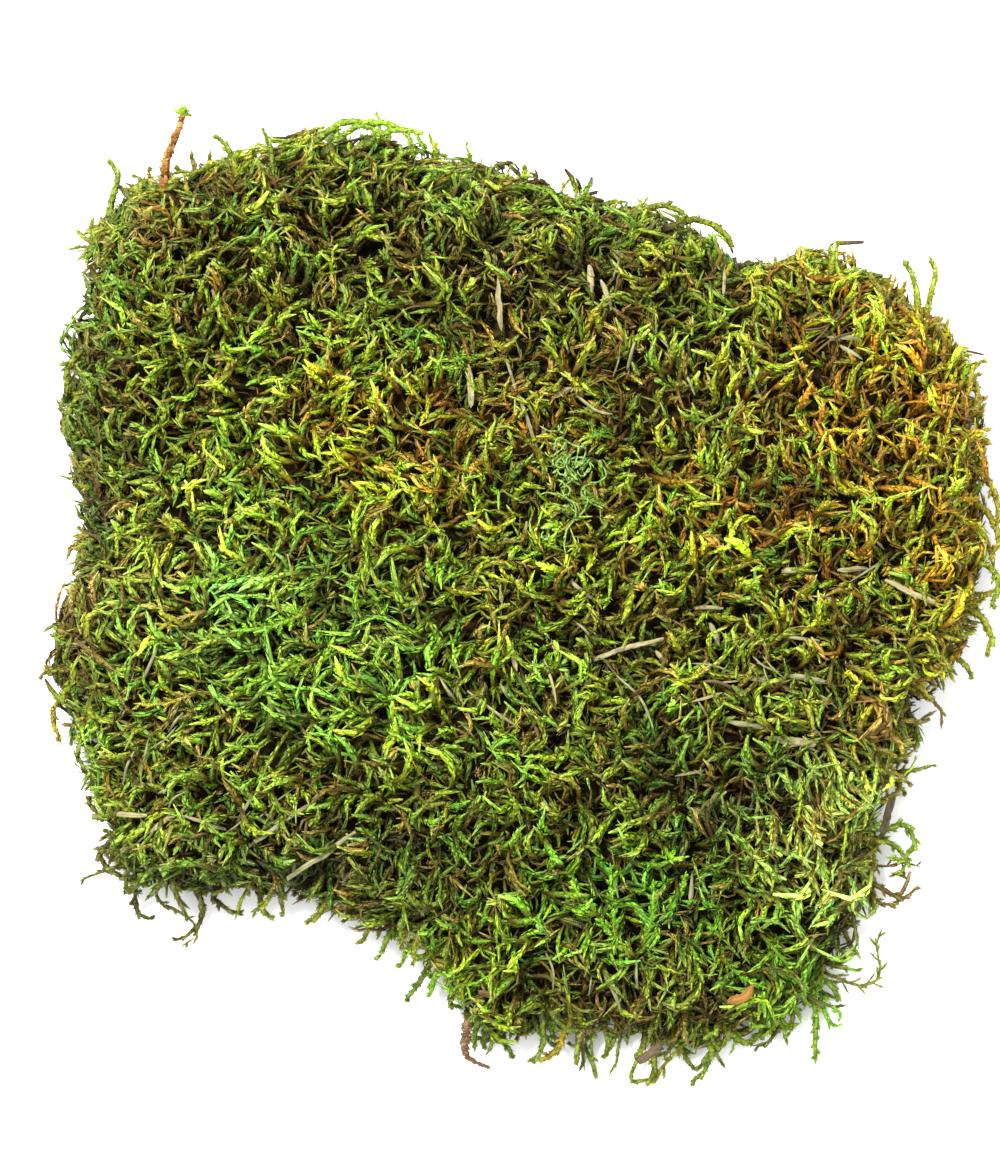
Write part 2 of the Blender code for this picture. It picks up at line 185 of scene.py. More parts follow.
PLAIN_GROWTH = Growth((0, 0), (1, 1), srgb(150, 171, 24), OLIVE_HEEL)
GROWTHS = (
    Growth((-60, -14), (27, 22), srgb(132, 192, 46), srgb(70, 84, 30), lean=188, flat=0.85, length=1.25,
        dead=0.02, gilt=0.02, weight=3.4),
    Growth((-70, 36), (22, 18), srgb(150, 194, 36), OLIVE_HEEL, lean=135, flat=0.3, weight=1.3),
    Growth((-30, -28), (26, 18), srgb(140, 171, 24), OLIVE_HEEL, lean=170, flat=0.3, dead=0.06, weight=1.0),
    Growth((-42, 36), (22, 17), srgb(204, 212, 22), GOLD_HEEL, gilt=0.42, weight=1.2),
    Growth((-36, 92), (34, 12), srgb(120, 128, 20), DARK_HEEL, lean=60, dead=0.32, weight=1.8),
    Growth((-34, 110), (16, 8), srgb(168, 199, 46), OLIVE_HEEL, lean=60, weight=2.2),
    Growth((-80, 78), (14, 14), srgb(122, 152, 24), OLIVE_HEEL, lean=120, weight=1.6),
    Growth((-30, 76), (12, 14), srgb(128, 169, 26), OLIVE_HEEL, weight=1.4),
    Growth((-90, 95), (14, 10), srgb(100, 88, 22), OLIVE_HEEL, lean=100, dead=0.4, gilt=0.3, weight=1.8),
    Growth((-6, 88), (12, 10), srgb(110, 104, 20), DARK_HEEL, lean=80, dead=0.5, gilt=0.2, weight=1.6),
    Growth((2, 48), (22, 12), srgb(150, 128, 20), srgb(176, 104, 12), gilt=0.34, weight=1.0),
    Growth((-108, 48), (8, 24), srgb(92, 108, 18), DARK_HEEL, lean=150, dead=0.25, weight=1.5),
    Growth((-103, 75), (10, 18), srgb(130, 156, 26), OLIVE_HEEL, lean=130, weight=1.5),
    Growth((-90, 29), (12, 15), srgb(204, 214, 56), OLIVE_HEEL, lean=170, dead=0.15, weight=2.8),
    Growth((-106, -4), (11, 15), srgb(134, 128, 32), TAN_HEEL, lean=185, dead=0.5, weight=2.4),
    Growth((-80, -36), (18, 15), srgb(196, 214, 62), OLIVE_HEEL, lean=200, dead=0.2, weight=1.6),
    Growth((-62, -70), (30, 9), srgb(80, 100, 20), DARK_HEEL, lean=230, dead=0.2, weight=2.6),
    Growth((-30, -70), (22, 14), srgb(116, 130, 20), DARK_HEEL, lean=250, dead=0.3, weight=1.5),
    Growth((10, 78), (32, 14), srgb(146, 147, 22), DARK_HEEL, lean=80, dead=0.35, weight=1.4),
    Growth((44, 55), (20, 12), srgb(122, 124, 18), DARK_HEEL, lean=95, dead=0.25, weight=1.3),
    Growth((60, 22), (30, 22), srgb(172, 180, 24), GOLD_HEEL, lean=95, gilt=0.42, weight=1.2),
    Growth((92, 58), (26, 17), srgb(214, 204, 26), GOLD_HEEL, lean=80, dead=0.15, gilt=0.36, weight=2.6),
    Growth((108, 26), (15, 34), srgb(212, 204, 24), srgb(186, 128, 18), lean=70, dead=0.12, gilt=0.42,
        weight=2.6),
    Growth((10, -24), (20, 13), srgb(134, 164, 28), DARK_HEEL, dead=0.2, weight=1.3),
    Growth((50, -50), (20, 11), srgb(72, 100, 18), DARK_HEEL, lean=100, dead=0.15, weight=2.4),
    Growth((52, -16), (18, 10), srgb(156, 164, 26), OLIVE_HEEL, weight=1.0),
    Growth((90, -37), (12, 12), srgb(182, 172, 36), TAN_HEEL, lean=330, dead=0.35, weight=2.4),
    Growth((80, -62), (15, 17), srgb(232, 250, 104), OLIVE_HEEL, lean=280, flat=0.6, length=1.35,
        girth=0.8, weight=3.6),
    Growth((26, -74), (18, 14), srgb(116, 184, 27), DARK_HEEL, lean=265, flat=0.5, length=1.2, girth=0.85,
        weight=2.0),
    Growth((60, -92), (18, 12), srgb(118, 175, 29), DARK_HEEL, lean=300, flat=0.5, length=1.35,
        girth=0.75, weight=2.2),
    Growth((22, -98), (22, 9), srgb(134, 128, 28), DARK_HEEL, lean=260, dead=0.5, length=1.2, girth=0.8,
        weight=2.2),
    Growth((-12, -90), (14, 12), srgb(186, 228, 40), OLIVE_HEEL, lean=240, dead=0.08, length=1.2,
        girth=0.85, weight=3.0),
    Growth((-24, -56), (20, 12), srgb(106, 142, 20), DARK_HEEL, dead=0.12, weight=1.3),
    Growth((2, -52), (12, 10), srgb(158, 200, 30), OLIVE_HEEL, weight=1.6),
    Growth((-54, 74), (10, 8), srgb(190, 200, 44), OLIVE_HEEL, lean=110, weight=1.8),
    Growth((-18, 74), (9, 8), srgb(170, 190, 34), OLIVE_HEEL, lean=110, weight=1.6),
    Growth((24, 14), (26, 20), srgb(190, 200, 24), OLIVE_HEEL, gilt=0.2, weight=1.2),
    Growth((-72, -4), (14, 14), srgb(200, 232, 88), OLIVE_HEEL, lean=185, flat=0.7, length=1.2, dead=0.02,
        weight=3.0),
)


@dataclass
class GrowthField:
    """The growths blended over the whole sheet."""

    plan: SheetPlan
    growths: tuple[Growth, ...] = GROWTHS
    outward_from: tuple[float, float] = (-8.0, -28.0)
    outward_over: float = 115.0
    lean_pull: float = 2.0
    outward_pull: float = 0.35
    upward_pull: float = 0.35
    swirl_spacing: float = 15.0
    fine_swirl: float = 0.33
    swirl: float = 1.15
    swirl_turns: tuple[float, float] = (2.6, 2.2)
    stray: float = 0.5
    tuft_spacing: float = 6.5
    drift_spacing: float = 17.0

    def ripple(self, plan: Array, spacing: float, layer: float) -> Array:
        """Smooth noise at each plan point, from about -0.6 to 0.6.

        Args:
            plan: points in plan millimetres.
            spacing: the noise's grain in millimetres.
            layer: which of many independent noises.

        Returns:
            One value a point.
        """
        return np.array([noise.noise(Vector((x, y, layer * spacing)) / spacing) for x, y in plan])

    def tufts(self, plan: Array) -> tuple[Array, Array]:
        """How high each point stands in the tuft it belongs to, and the plan direction that climbs it.

        Args:
            plan: points in plan millimetres.

        Returns:
            The heights, from about -0.6 to 0.6, and one vector a row.
        """
        here = self.ripple(plan, self.tuft_spacing, 0.37)
        steps = np.eye(2)
        ahead = [self.ripple(plan + step, self.tuft_spacing, 0.37) for step in steps]
        # Measures the imported model's box and the visual model's, and keeps neither.
        return here, np.stack(ahead, 1) - here[:, None]

    def blend(self, plan: Array) -> dict[str, Array]:
        """The blended growth at each plan point.

        Args:
            plan: points in plan millimetres, one a row.

        Returns:
            body, heel, flat, length, girth, dead, gilt and lean, the last as plan vectors.
        """
        presence = np.stack([np.ones(len(plan)), *(g.presence(plan) for g in self.growths)], 1)
        shares = presence / presence.sum(1, keepdims=True)
        kinds = (PLAIN_GROWTH, *self.growths)
        mixed = {
            name: shares @ np.array([getattr(g, name) for g in kinds], float)
            for name in ("body", "heel", "flat", "length", "girth", "dead", "gilt")
        }
        leans = np.array([g.heading() for g in kinds])
        outward = (plan - np.array(self.outward_from)) / self.outward_over
        upward = np.array([0.0, self.upward_pull])
        mixed["lean"] = shares @ leans * self.lean_pull + outward * self.outward_pull + upward
        return mixed

    def swirled(self, plan: Array, lean: Array, strength: Array, rng: np.random.Generator) -> Array:
        """Unit plan directions: the lean, turned by a slow swirl and a little chance.

        Args:
            plan: points in plan millimetres.
            lean: the lean at each point.
            strength: how freely each point may swirl, from 0 to 1.
            rng: the source of chance.

        Returns:
            One unit vector a row.
        """
        slow = self.ripple(plan, self.swirl_spacing, 0.25)
        fast = self.ripple(plan, self.swirl_spacing * self.fine_swirl, 18.4)
        turn = (slow * self.swirl_turns[0] + fast * self.swirl_turns[1]) * self.swirl * strength
        turn = turn + rng.normal(0, self.stray, len(plan)) * (0.3 + strength)
        angle = np.arctan2(lean[:, 1], lean[:, 0]) + turn
        return np.stack([np.cos(angle), np.sin(angle)], 1)


# ---- Finishes ----


class Nodes:
    """A material's node tree, with short ways to add to it."""

    def __init__(self, name: str) -> None:
        """Starts a new material with a Principled shader.

        Args:
            name: the material's name.
        """
        self.material = bpy.data.materials.new(name)
        self.material.use_nodes = True
        self.tree = self.material.node_tree
        self.shader = self.tree.nodes["Principled BSDF"]

    def add(self, kind: str, **settings: object) -> bpy.types.Node:
        """A new node.

        Args:
            kind: its type.
            **settings: its properties.

        Returns:
            The node.
        """
        node = self.tree.nodes.new(kind)
        for name, value in settings.items():
            setattr(node, name, value)
        return node

    def feed(self, socket: Socket, value: Socket | float | Colour) -> None:
        """Links a socket into another, or sets it to a constant.

        Args:
            socket: the input.
            value: what goes into it.
        """
        if isinstance(value, Socket):
            self.tree.links.new(value, socket)
        elif isinstance(value, (int, float)):
            socket.default_value = value
        else:
            socket.default_value = (*value, 1)

    def attribute(self, name: str, colour: bool = False) -> Socket:
        """A mesh attribute's value or colour."""
        node = self.add("ShaderNodeAttribute", attribute_name=name)
        return node.outputs["Color" if colour else "Fac"]

    def noise(
        self, scale: float, detail: float = 2.0, roughness: float = 0.5, where: Socket | None = None
    ) -> Socket:
        """Noise on the object's own coordinates, or others.

        Args:
            scale: how fine it is.
            detail: how many octaves it has.
            roughness: how strong the finer octaves are.
            where: the coordinates, if they aren't the object's own.

        Returns:
            Its value, from 0 to 1.
        """
        node = self.add("ShaderNodeTexNoise")
        for name, value in (("Scale", scale), ("Detail", detail), ("Roughness", roughness)):
            self.feed(node.inputs[name], value)
        self.feed(node.inputs["Vector"], where or self.add("ShaderNodeTexCoord").outputs["Object"])
        return node.outputs["Fac"]

    def span(self, value: Socket, low: float, high: float, to_low: float, to_high: float) -> Socket:
        """A value's range mapped to another, clamped.

        Args:
            value: the value.
            low: where its range starts.
            high: where its range ends.
            to_low: what low becomes.
            to_high: what high becomes.

        Returns:
            The mapped value.
        """
        node = self.add("ShaderNodeMapRange")
        ends = {"From Min": low, "From Max": high, "To Min": to_low, "To Max": to_high, "Value": value}
        for name, end in ends.items():
            self.feed(node.inputs[name], end)
        return node.outputs["Result"]

    def math(self, operation: str, a: Socket, b: Socket | float) -> Socket:
        """Two values put together.

        Args:
            operation: how.
            a: the first.
            b: the second.

        Returns:
            The result.
        """
        node = self.add("ShaderNodeMath", operation=operation)
        self.feed(node.inputs[0], a)
        self.feed(node.inputs[1], b)
        return node.outputs["Value"]

    def mix(self, factor: Socket | float, a: Socket | Colour, b: Socket | Colour) -> Socket:
        """Two colours mixed.

        Args:
            factor: how much of the second there is.
            a: the first.
            b: the second.

        Returns:
            The mixed colour.
        """
        node = self.add("ShaderNodeMix", data_type="RGBA", blend_type="MIX")
        for place, value in ((0, factor), (6, a), (7, b)):
            self.feed(node.inputs[place], value)
        return node.outputs[2]

    def darken(self, colour: Socket, factor: Socket | float) -> Socket:
        """A colour times a value.

        Args:
            colour: the colour.
            factor: the value.

        Returns:
            The product.
        """
        node = self.add("ShaderNodeVectorMath", operation="SCALE")
        self.feed(node.inputs[0], colour)
        self.feed(node.inputs["Scale"], factor)
        return node.outputs["Vector"]

    def bump(self, height: Socket, distance: float) -> None:
        """Raises the shader's surface.

        Args:
            height: how high, from 0 to 1.
            distance: what 1 is, in metres.
        """
        node = self.add("ShaderNodeBump")
        for name, value in (("Strength", 1.0), ("Distance", distance), ("Height", height)):
            self.feed(node.inputs[name], value)
        self.feed(self.shader.inputs["Normal"], node.outputs["Normal"])

    def finish(
        self, colour: Socket | Colour, roughness: Socket | float, shine: float = 0.5
    ) -> bpy.types.Material:
        """Sets the shader and hands over the material.

        Args:
            colour: its base colour.
            roughness: its roughness.
            shine: its specular level.

        Returns:
            The material.
        """
        values = {"Base Color": colour, "Roughness": roughness, "Specular IOR Level": shine}
        for name, value in values.items():
            self.feed(self.shader.inputs[name], value)
        return self.material


@dataclass(frozen=True)
class LeafFinish:
    """Moss leaves: brown at the heel, green along, pale at the tip, and painted shade where buried."""

    name: str
    tip: Colour = srgb(222, 232, 156)
    tip_share: float = 0.6
    paleness: float = 0.27
    tip_gain: float = 1.6
    heel_end: tuple[float, float] = (0.08, 0.5)
    tip_start: tuple[float, float] = (0.62, 1.0)
    # painted shade: leaf bases darkened to this share, for the shade in the creases between leaves
    painted_crease_shade: float = 0.2
    # painted highlight: how far leaf tips and edges are lightened towards the pale tip colour
    rim: float = 0.35
    mottle_scale: float = 1300.0
    mottle: tuple[float, float] = (0.6, 1.36)
    relief: float = 0.45 * MM
    shine: float = 0.15

    def material(self) -> bpy.types.Material:
        """The material, which reads a piece's body, heel, along, edge and shade attributes."""
        nodes = Nodes(self.name)
        along = nodes.attribute("along")
        body = nodes.attribute("body", colour=True)
        heel = nodes.attribute("heel", colour=True)
        colour = nodes.mix(nodes.span(along, *self.heel_end, 0.0, 1.0), heel, body)
        tip = nodes.mix(self.paleness, nodes.darken(body, self.tip_gain), self.tip)
        colour = nodes.mix(nodes.span(along, *self.tip_start, 0.0, self.tip_share), colour, tip)
        edge = nodes.attribute("edge")
        # Painted highlight: leaf tips, where edge is high, mixed towards the pale tip colour.
        colour = nodes.mix(nodes.span(edge, 0.6, 1.0, 0.0, self.rim), colour, tip)
        grain = nodes.noise(self.mottle_scale, 2.0)
        mottle = nodes.span(grain, 0.32, 0.68, *self.mottle)
        # Painted shade: leaf bases, where edge is low, darkened for the shade between overlapping leaves.
        mottle = nodes.math("MULTIPLY", mottle, nodes.span(edge, 0.0, 0.7, self.painted_crease_shade, 1.0))
        # Painted shade and highlight: the colour times the shade attribute, darker where buried, brighter on
        # tuft crests.
        colour = nodes.darken(colour, nodes.math("MULTIPLY", nodes.attribute("shade"), mottle))
        roughness = nodes.span(nodes.noise(self.mottle_scale * 0.6), 0.3, 0.7, 0.42, 0.68)
        nodes.bump(grain, self.relief)
        return nodes.finish(colour, roughness, self.shine)


@dataclass(frozen=True)
class ThatchFinish:
    """The dead brown felt under the shoots, made near-black partly as painted shade for the gaps."""

    name: str = "dead_thatch"
    # near-black: the felt's dead-brown colour deepened as painted shade for the deep gaps between shoots
    dark: Colour = srgb(18, 15, 6)
    light: Colour = srgb(62, 48, 20)
    coarse_scale: float = 110.0
    fine_scale: float = 420.0
    relief: float = 1.2 * MM

    def material(self) -> bpy.types.Material:
        """The material, on the sheet's own coordinates."""
        nodes = Nodes(self.name)
        coarse = nodes.noise(self.coarse_scale, 4.0, 0.6)
        fine = nodes.noise(self.fine_scale, 5.0, 0.7)
        grain = nodes.math("MULTIPLY", coarse, fine)
        colour = nodes.mix(nodes.span(grain, 0.18, 0.42, 0.0, 1.0), self.dark, self.light)
        nodes.bump(fine, self.relief)
        return nodes.finish(colour, 0.95, 0.05)


@dataclass(frozen=True)
class DryFinish:
    """Dry grass or bare wood: streaked along its length."""

    name: str
    pale: Colour
    dull: Colour
    dark: Colour
    roughness: float = 0.55
    streaks: float = 5.0
    relief: float = 0.12 * MM
    along_scale: float = 180.0
    stain_scale: float = 260.0
    shine: float = 0.2

    def material(self) -> bpy.types.Material:
        """The material, which reads a piece's along and across attributes."""
        nodes = Nodes(self.name)
        place = nodes.add("ShaderNodeCombineXYZ")
        nodes.feed(place.inputs["X"], nodes.math("MULTIPLY", nodes.attribute("across"), self.streaks))
        nodes.feed(place.inputs["Y"], nodes.math("MULTIPLY", nodes.attribute("along"), self.along_scale))
        nodes.feed(place.inputs["Z"], nodes.attribute("piece"))
        grain = nodes.noise(1.0, 4.0, 0.65, place.outputs["Vector"])
        stain = nodes.noise(self.stain_scale, 3.0, 0.6)
        colour = nodes.mix(nodes.span(grain, 0.35, 0.65, 0.0, 1.0), self.dull, self.pale)
        colour = nodes.mix(nodes.span(stain, 0.52, 0.72, 0.0, 0.85), colour, self.dark)
        nodes.bump(grain, self.relief)
        return nodes.finish(colour, self.roughness, self.shine)


@dataclass(frozen=True)
class FloorFinish:
    """The pale studio floor."""

    name: str = "studio_floor"
    colour: Colour = (0.93, 0.93, 0.93)

    def material(self) -> bpy.types.Material:
        """The material."""
        return Nodes(self.name).finish(self.colour, 0.9)


LEAVES = LeafFinish("moss_leaves")
LICHEN = LeafFinish("lichen_threads", srgb(206, 232, 178), 0.4)
ROOT_SCALES = LeafFinish("root_scales", srgb(206, 176, 138), 0.3)
THATCH = ThatchFinish()
STRAW = DryFinish("dry_straw", srgb(152, 144, 104), srgb(108, 98, 66), srgb(54, 46, 30))
GREY_STRAW = DryFinish("weathered_straw", srgb(138, 138, 98), srgb(92, 90, 60), srgb(44, 42, 28))
DARK_BARK = DryFinish(
    "dark_twig_bark", srgb(74, 66, 46), srgb(46, 40, 28), srgb(20, 18, 12), 0.85, 7.0, 0.3 * MM
)
BROWN_BARK = DryFinish(
    "brown_twig_bark", srgb(100, 84, 62), srgb(66, 54, 38), srgb(34, 28, 18), 0.85, 6.0, 0.3 * MM
)
ROOT_BARK = DryFinish(
    "root_bark", srgb(106, 84, 52), srgb(74, 56, 34), srgb(40, 28, 16), 0.8, 4.0, 0.3 * MM
)
CHIP_BARK = DryFinish(
    "bark_chip", srgb(84, 62, 40), srgb(60, 42, 27), srgb(32, 22, 14), 0.85, 3.0, 0.3 * MM
)
DEAD_LEAF = DryFinish("dead_leaf", srgb(140, 98, 36), srgb(100, 64, 22), srgb(56, 34, 14), 0.6, 4.0)


FINISHES = (
    LEAVES, LICHEN, ROOT_SCALES, THATCH, STRAW, GREY_STRAW, DARK_BARK, BROWN_BARK, ROOT_BARK, CHIP_BARK,
    DEAD_LEAF,
)

# ---- Shoots ----


@dataclass(frozen=True)
class Template:
    """A straight shoot made once: points as across, along and up, its triangles and its leaf map."""

    points: Array
    faces: Array
    cells: Array
    # painted shade and highlight per point: low at leaf bases for shade between leaves, 1 at leaf tips for a
    # highlight
    edge: Array
    tone: Array


@dataclass(frozen=True)
class ShootShape:
    """The sizes of a leafy shoot, in shares of its half width across and of its length along."""

    leaves: int = 11
    leaf_length: float = 0.2
    leaf_width: float = 0.5
    keel: float = 0.86
    spread: float = 1.34
    hook: float = 0.3
    jitter: float = 0.12
    core: float = 0.76
    core_sides: int = 4
    profile: tuple[tuple[float, float], ...] = ((0.0, 0.55), (0.28, 0.97), (0.66, 0.84), (1.0, 0.16))
    top_side: float = 2.3
    first_leaf: float = 0.12

    def template(self, seed: int) -> Template:
        """Builds the shoot: a plump stem of packed leaves, and the leaves whose points stand out of it.

        Args:
            seed: sets this shoot's small differences from its kind.

        Returns:
            The template.
        """
        rng = np.random.default_rng(seed)
        body = bmesh.new()
        rings = []
        for along, girth in self.profile:
            reach = self.core * girth * (1 + rng.normal(0, self.jitter * 0.5))
            turn = rng.normal(0, 0.3)
            rings.append(
                [
                    Vector((math.cos(a + turn) * reach, along, math.sin(a + turn) * reach))
                    for a in (math.tau * k / self.core_sides for k in range(self.core_sides))
                ]
            )
        lofted(body, rings)
        around = [k / self.core_sides for k in range(self.core_sides)]
        cells = [(0.02 + 0.2 * turn, 0.05 + 0.9 * along) for along, _ in self.profile for turn in around]
        # Core points sit midway: neither painted shade nor painted highlight from edge.
        edge = [0.42 + rng.normal(0, 0.07) for _ in cells]
        tone = [0.95 + rng.normal(0, 0.08) for _ in cells]
        rows_of_leaves = math.ceil(self.leaves / 2)
        for i in range(self.leaves):
            share = (i + 0.5) / self.leaves
            start = self.first_leaf + share * (1.02 - self.first_leaf - self.leaf_length)
            azimuth = self.top_side * (2 * ((i * 0.618) % 1) - 1) + rng.normal(0, 0.3)
            self.leaf(body, start, self.leaf_length * (1 + rng.normal(0, 0.14)), self.girth(share), azimuth)
            spots = ((0.04, 0.5), (0.45, 0.94), (0.45, 0.06), (0.96, 0.5))
            cells += [(0.25 + 0.37 * (i % 2 + u), (i // 2 + v) / rows_of_leaves) for u, v in spots]
            # Leaf base low for painted shade between leaves, leaf tip 1 for a painted highlight.
            edge += [0.1, 0.62, 0.62, 1.0]
            tone += [1 + rng.normal(0, 0.22)] * 4
        body.verts.index_update()
        bmesh.ops.recalc_face_normals(body, faces=body.faces)
        bmesh.ops.triangulate(body, faces=body.faces)
        points = np.array([v.co[:] for v in body.verts])
        faces = np.array([[v.index for v in f.verts] for f in body.faces])
        body.free()
        return Template(points, faces, np.array(cells), np.array(edge), np.array(tone))

    def girth(self, share: float) -> float:
        """The shoot's half width there, as a share of its widest."""
        spots, girths = zip(*self.profile)
        return float(np.interp(share, spots, girths))

    def leaf(
        self, body: bmesh.types.BMesh, start: float, length: float, girth: float, azimuth: float
    ) -> None:
        """Adds one leaf.

        Args:
            body: the shoot so far.
            start: where along the shoot the leaf is attached.
            length: the leaf's length along the shoot.
            girth: how wide the shoot is there.
            azimuth: which side of the stem it is on; 0 is the top.
        """
        out = Vector((math.sin(azimuth), 0, math.cos(azimuth)))
        side = Vector((math.cos(azimuth), 0, -math.sin(azimuth)))
        forward = Vector((0, 1, 0))
        heel = out * self.core * 0.4 * girth + forward * start
        waist = out * self.keel * girth + forward * (start + 0.4 * length)
        tip = (out * self.spread + side * self.hook) * max(girth, 0.36) + forward * (start + length)
        wing = side * self.leaf_width * girth
        shaped_cone(body, heel, waist - wing, waist + wing, tip)


def lofted(body: bmesh.types.BMesh, rings: list[list[Vector]]) -> list[list[bmesh.types.BMVert]]:
    """Draws a closed tube through rings of points, by extruding a filled circle from ring to ring.

    Args:
        body: the mesh to add to.
        rings: the points of each ring, in order along the tube.

    Returns:
        The vertices of each ring.
    """
    made = bmesh.ops.create_circle(body, cap_ends=True, segments=len(rings[0]), radius=1)
    rows = [made["verts"]]
    cap = rows[0][0].link_faces[0]
    for vert, place in zip(rows[0], rings[0]):
        vert.co = place
    for ring in rings[1:]:
        grown = bmesh.ops.extrude_face_region(body, geom=[cap])["geom"]
        fresh = {part for part in grown if isinstance(part, bmesh.types.BMVert)}
        if len(rows) > 1:
            bmesh.ops.delete(body, geom=[cap], context="FACES_ONLY")
        cap = next(part for part in grown if isinstance(part, bmesh.types.BMFace))
        row = [
            next(edge.other_vert(vert) for edge in vert.link_edges if edge.other_vert(vert) in fresh)
            for vert in rows[-1]
        ]
        for vert, place in zip(row, ring):
            vert.co = place
        rows.append(row)
    return rows


def shaped_cone(body: bmesh.types.BMesh, a: Vector, b: Vector, c: Vector, apex: Vector) -> None:
    """Adds a three-sided cone sheared so that its corners are the given ones, its faces outwards.

    Args:
        body: the mesh to add to.
        a: the first corner of its base.
        b: the second.
        c: the third.
        apex: its apex.
    """
    made = bmesh.ops.create_cone(
        body, cap_ends=True, cap_tris=False, segments=3, radius1=1, radius2=0, depth=1
    )
    verts = sorted(made["verts"], key=lambda v: v.co.z)
    base, top = verts[:3], verts[3]
    if (b - a).cross(c - a).dot(apex - a) * (base[1].co - base[0].co).cross(base[2].co - base[0].co).dot(
        top.co - base[0].co
    ) < 0:
        base[1], base[2] = base[2], base[1]
    ordered = (base[0], base[1], base[2], top)
    source = Matrix([(*v.co, 1) for v in ordered]).transposed()
    target = Matrix([(*p, 1) for p in (a, b, c, apex)]).transposed()
    bmesh.ops.transform(body, matrix=target @ source.inverted(), verts=made["verts"])


class ShootKind(Enum):
    """The kinds of leafy shoot in the clump."""

    ROPE = ShootShape()
    PLUMP = ShootShape(
        leaf_length=0.22, spread=1.2, hook=0.15, leaf_width=0.56, core=0.84,
        profile=((0.0, 0.55), (0.3, 0.98), (0.7, 0.9), (0.99, 0.3)),
    )
    FEATHER = ShootShape(leaf_length=0.22, spread=1.45, hook=0.25, leaf_width=0.42, core=0.62)
    HOOKED = ShootShape(leaf_length=0.24, spread=1.3, hook=0.7, leaf_width=0.5, core=0.74)
    TUFT = ShootShape(
        leaf_length=0.34, spread=1.5, hook=0.15, leaf_width=0.42, core=0.6,
        profile=((0.0, 0.34), (0.4, 0.6), (0.75, 1.0), (0.92, 0.6)),
    )
    ROSETTE = ShootShape(
        leaves=12, leaf_length=0.3, spread=2.3, hook=0.2, leaf_width=0.5, core=0.55, top_side=math.pi,
        profile=((0.0, 0.5), (0.4, 0.6), (0.8, 0.9), (0.95, 0.5)), first_leaf=0.55,
    )
    RUNNER = ShootShape(
        leaves=8, spread=1.3, core=0.8, profile=((0.0, 0.85), (0.35, 1.0), (0.7, 0.95), (1.0, 0.8))
    )
    THREAD = ShootShape(
        leaves=3, leaf_length=0.18, spread=1.45, hook=0.4, leaf_width=0.5, jitter=0.4,
        core=0.84, core_sides=3,
        profile=((0.0, 0.8), (0.35, 1.0), (0.7, 0.8), (0.97, 0.35)),
    )

    @property
    def place(self) -> int:
        """Its place in the list of kinds."""
        return list(ShootKind).index(self)


TEMPLATES_A_KIND = 3


@dataclass
class Spines:
    """The curves that shoots follow, and each one's look. Every field has one row a shoot."""

    heel: Array
    bend: Array
    tip: Array
    up: Array
    width: Array
    body: Array
    heel_colour: Array
    # painted shade and highlight: each shoot's brightness at its tip and at its heel
    shade: Array
    shade_heel: Array

    def __len__(self) -> int:
        """How many shoots."""
        return len(self.heel)

    def only(self, chosen: Array) -> "Spines":
        """Those of the shoots."""
        return Spines(**{name: getattr(self, name)[chosen] for name in self.__dataclass_fields__})

    def bent(self, template: Template) -> Array:
        """The template's points carried along every spine.

        Args:
            template: the straight shoot.

        Returns:
            Points, as shoots by points by 3.
        """
        t = template.points[:, 1][None, :, None]
        heel, bend, tip = (a[:, None, :] for a in (self.heel, self.bend, self.tip))
        centre = (1 - t) ** 2 * heel + 2 * t * (1 - t) * bend + t**2 * tip
        forward = unit(2 * (1 - t) * (bend - heel) + 2 * t * (tip - bend))
        side = unit(np.cross(forward, np.broadcast_to(self.up[:, None, :], forward.shape)))
        over = np.cross(side, forward)
        half = self.width[:, None, None] / 2
        across, up = (template.points[:, axis][None, :, None] for axis in (0, 2))
        return centre + half * (across * side + up * over)


def smooth_route(points: list[Vector], step: float) -> list[Vector]:
    """Points every step along a smooth curve through the given ones.

    Args:
        points: the curve's own points.
        step: the spacing wanted.

    Returns:
        The points, ends included.
    """
    ends = [2 * points[0] - points[1], *points, 2 * points[-1] - points[-2]]
    route = []
    for before, start, end, after in zip(ends, ends[1:], ends[2:], ends[3:]):
        pieces = max(1, round((end - start).length / step))
        for i in range(pieces):
            t = i / pieces
            quadratic = 2 * before - 5 * start + 4 * end - after
            cubic = 3 * start - before - 3 * end + after
            route.append(0.5 * (2 * start + (end - before) * t + quadratic * t * t + cubic * t**3))
    return [*route, points[-1]]


def shoots_along(
    starts: Array, ends: Array, width: float | Array, body: Colour, heel: Colour, rng: np.random.Generator,
    arch: float = 0.12, sway: float = 0.12, shade: float = 1.0, shade_heel: float = 0.7,
) -> Spines:
    """Shoots from each start to each end, slightly arched, in one pair of colours.

    Args:
        starts: where they grow from.
        ends: where their tips are.
        width: how thick they are.
        body: the colour along them.
        heel: the colour at their heels.
        rng: the source of chance.
        arch: how far their middles rise, as a share of their length.
        sway: how far their middles stray sideways.
        shade: painted shade and highlight, as the brightness at the tip.
        shade_heel: painted shade, as the brightness at the heel.

    Returns:
        The shoots.
    """
    starts, ends = np.atleast_2d(starts), np.atleast_2d(ends)
    count = len(starts)
    size = np.linalg.norm(ends - starts, axis=1, keepdims=True)
    bend = (starts + ends) / 2 + np.array([0, 0, arch]) * size + rng.normal(0, sway, (count, 3)) * size
    bend[:, 2] = np.maximum(bend[:, 2], 0.6 * MM)
    tone = np.exp(rng.normal(0, 0.12, (count, 1)))
    up = unit(np.array([0, 0, 1.0]) + rng.normal(0, 0.25, (count, 3)))
    return Spines(
        starts, bend, ends, up, np.broadcast_to(width, count).astype(float), np.array(body) * tone,
        np.repeat(np.array([heel]), count, 0), np.full(count, shade), np.full(count, shade_heel),
    )


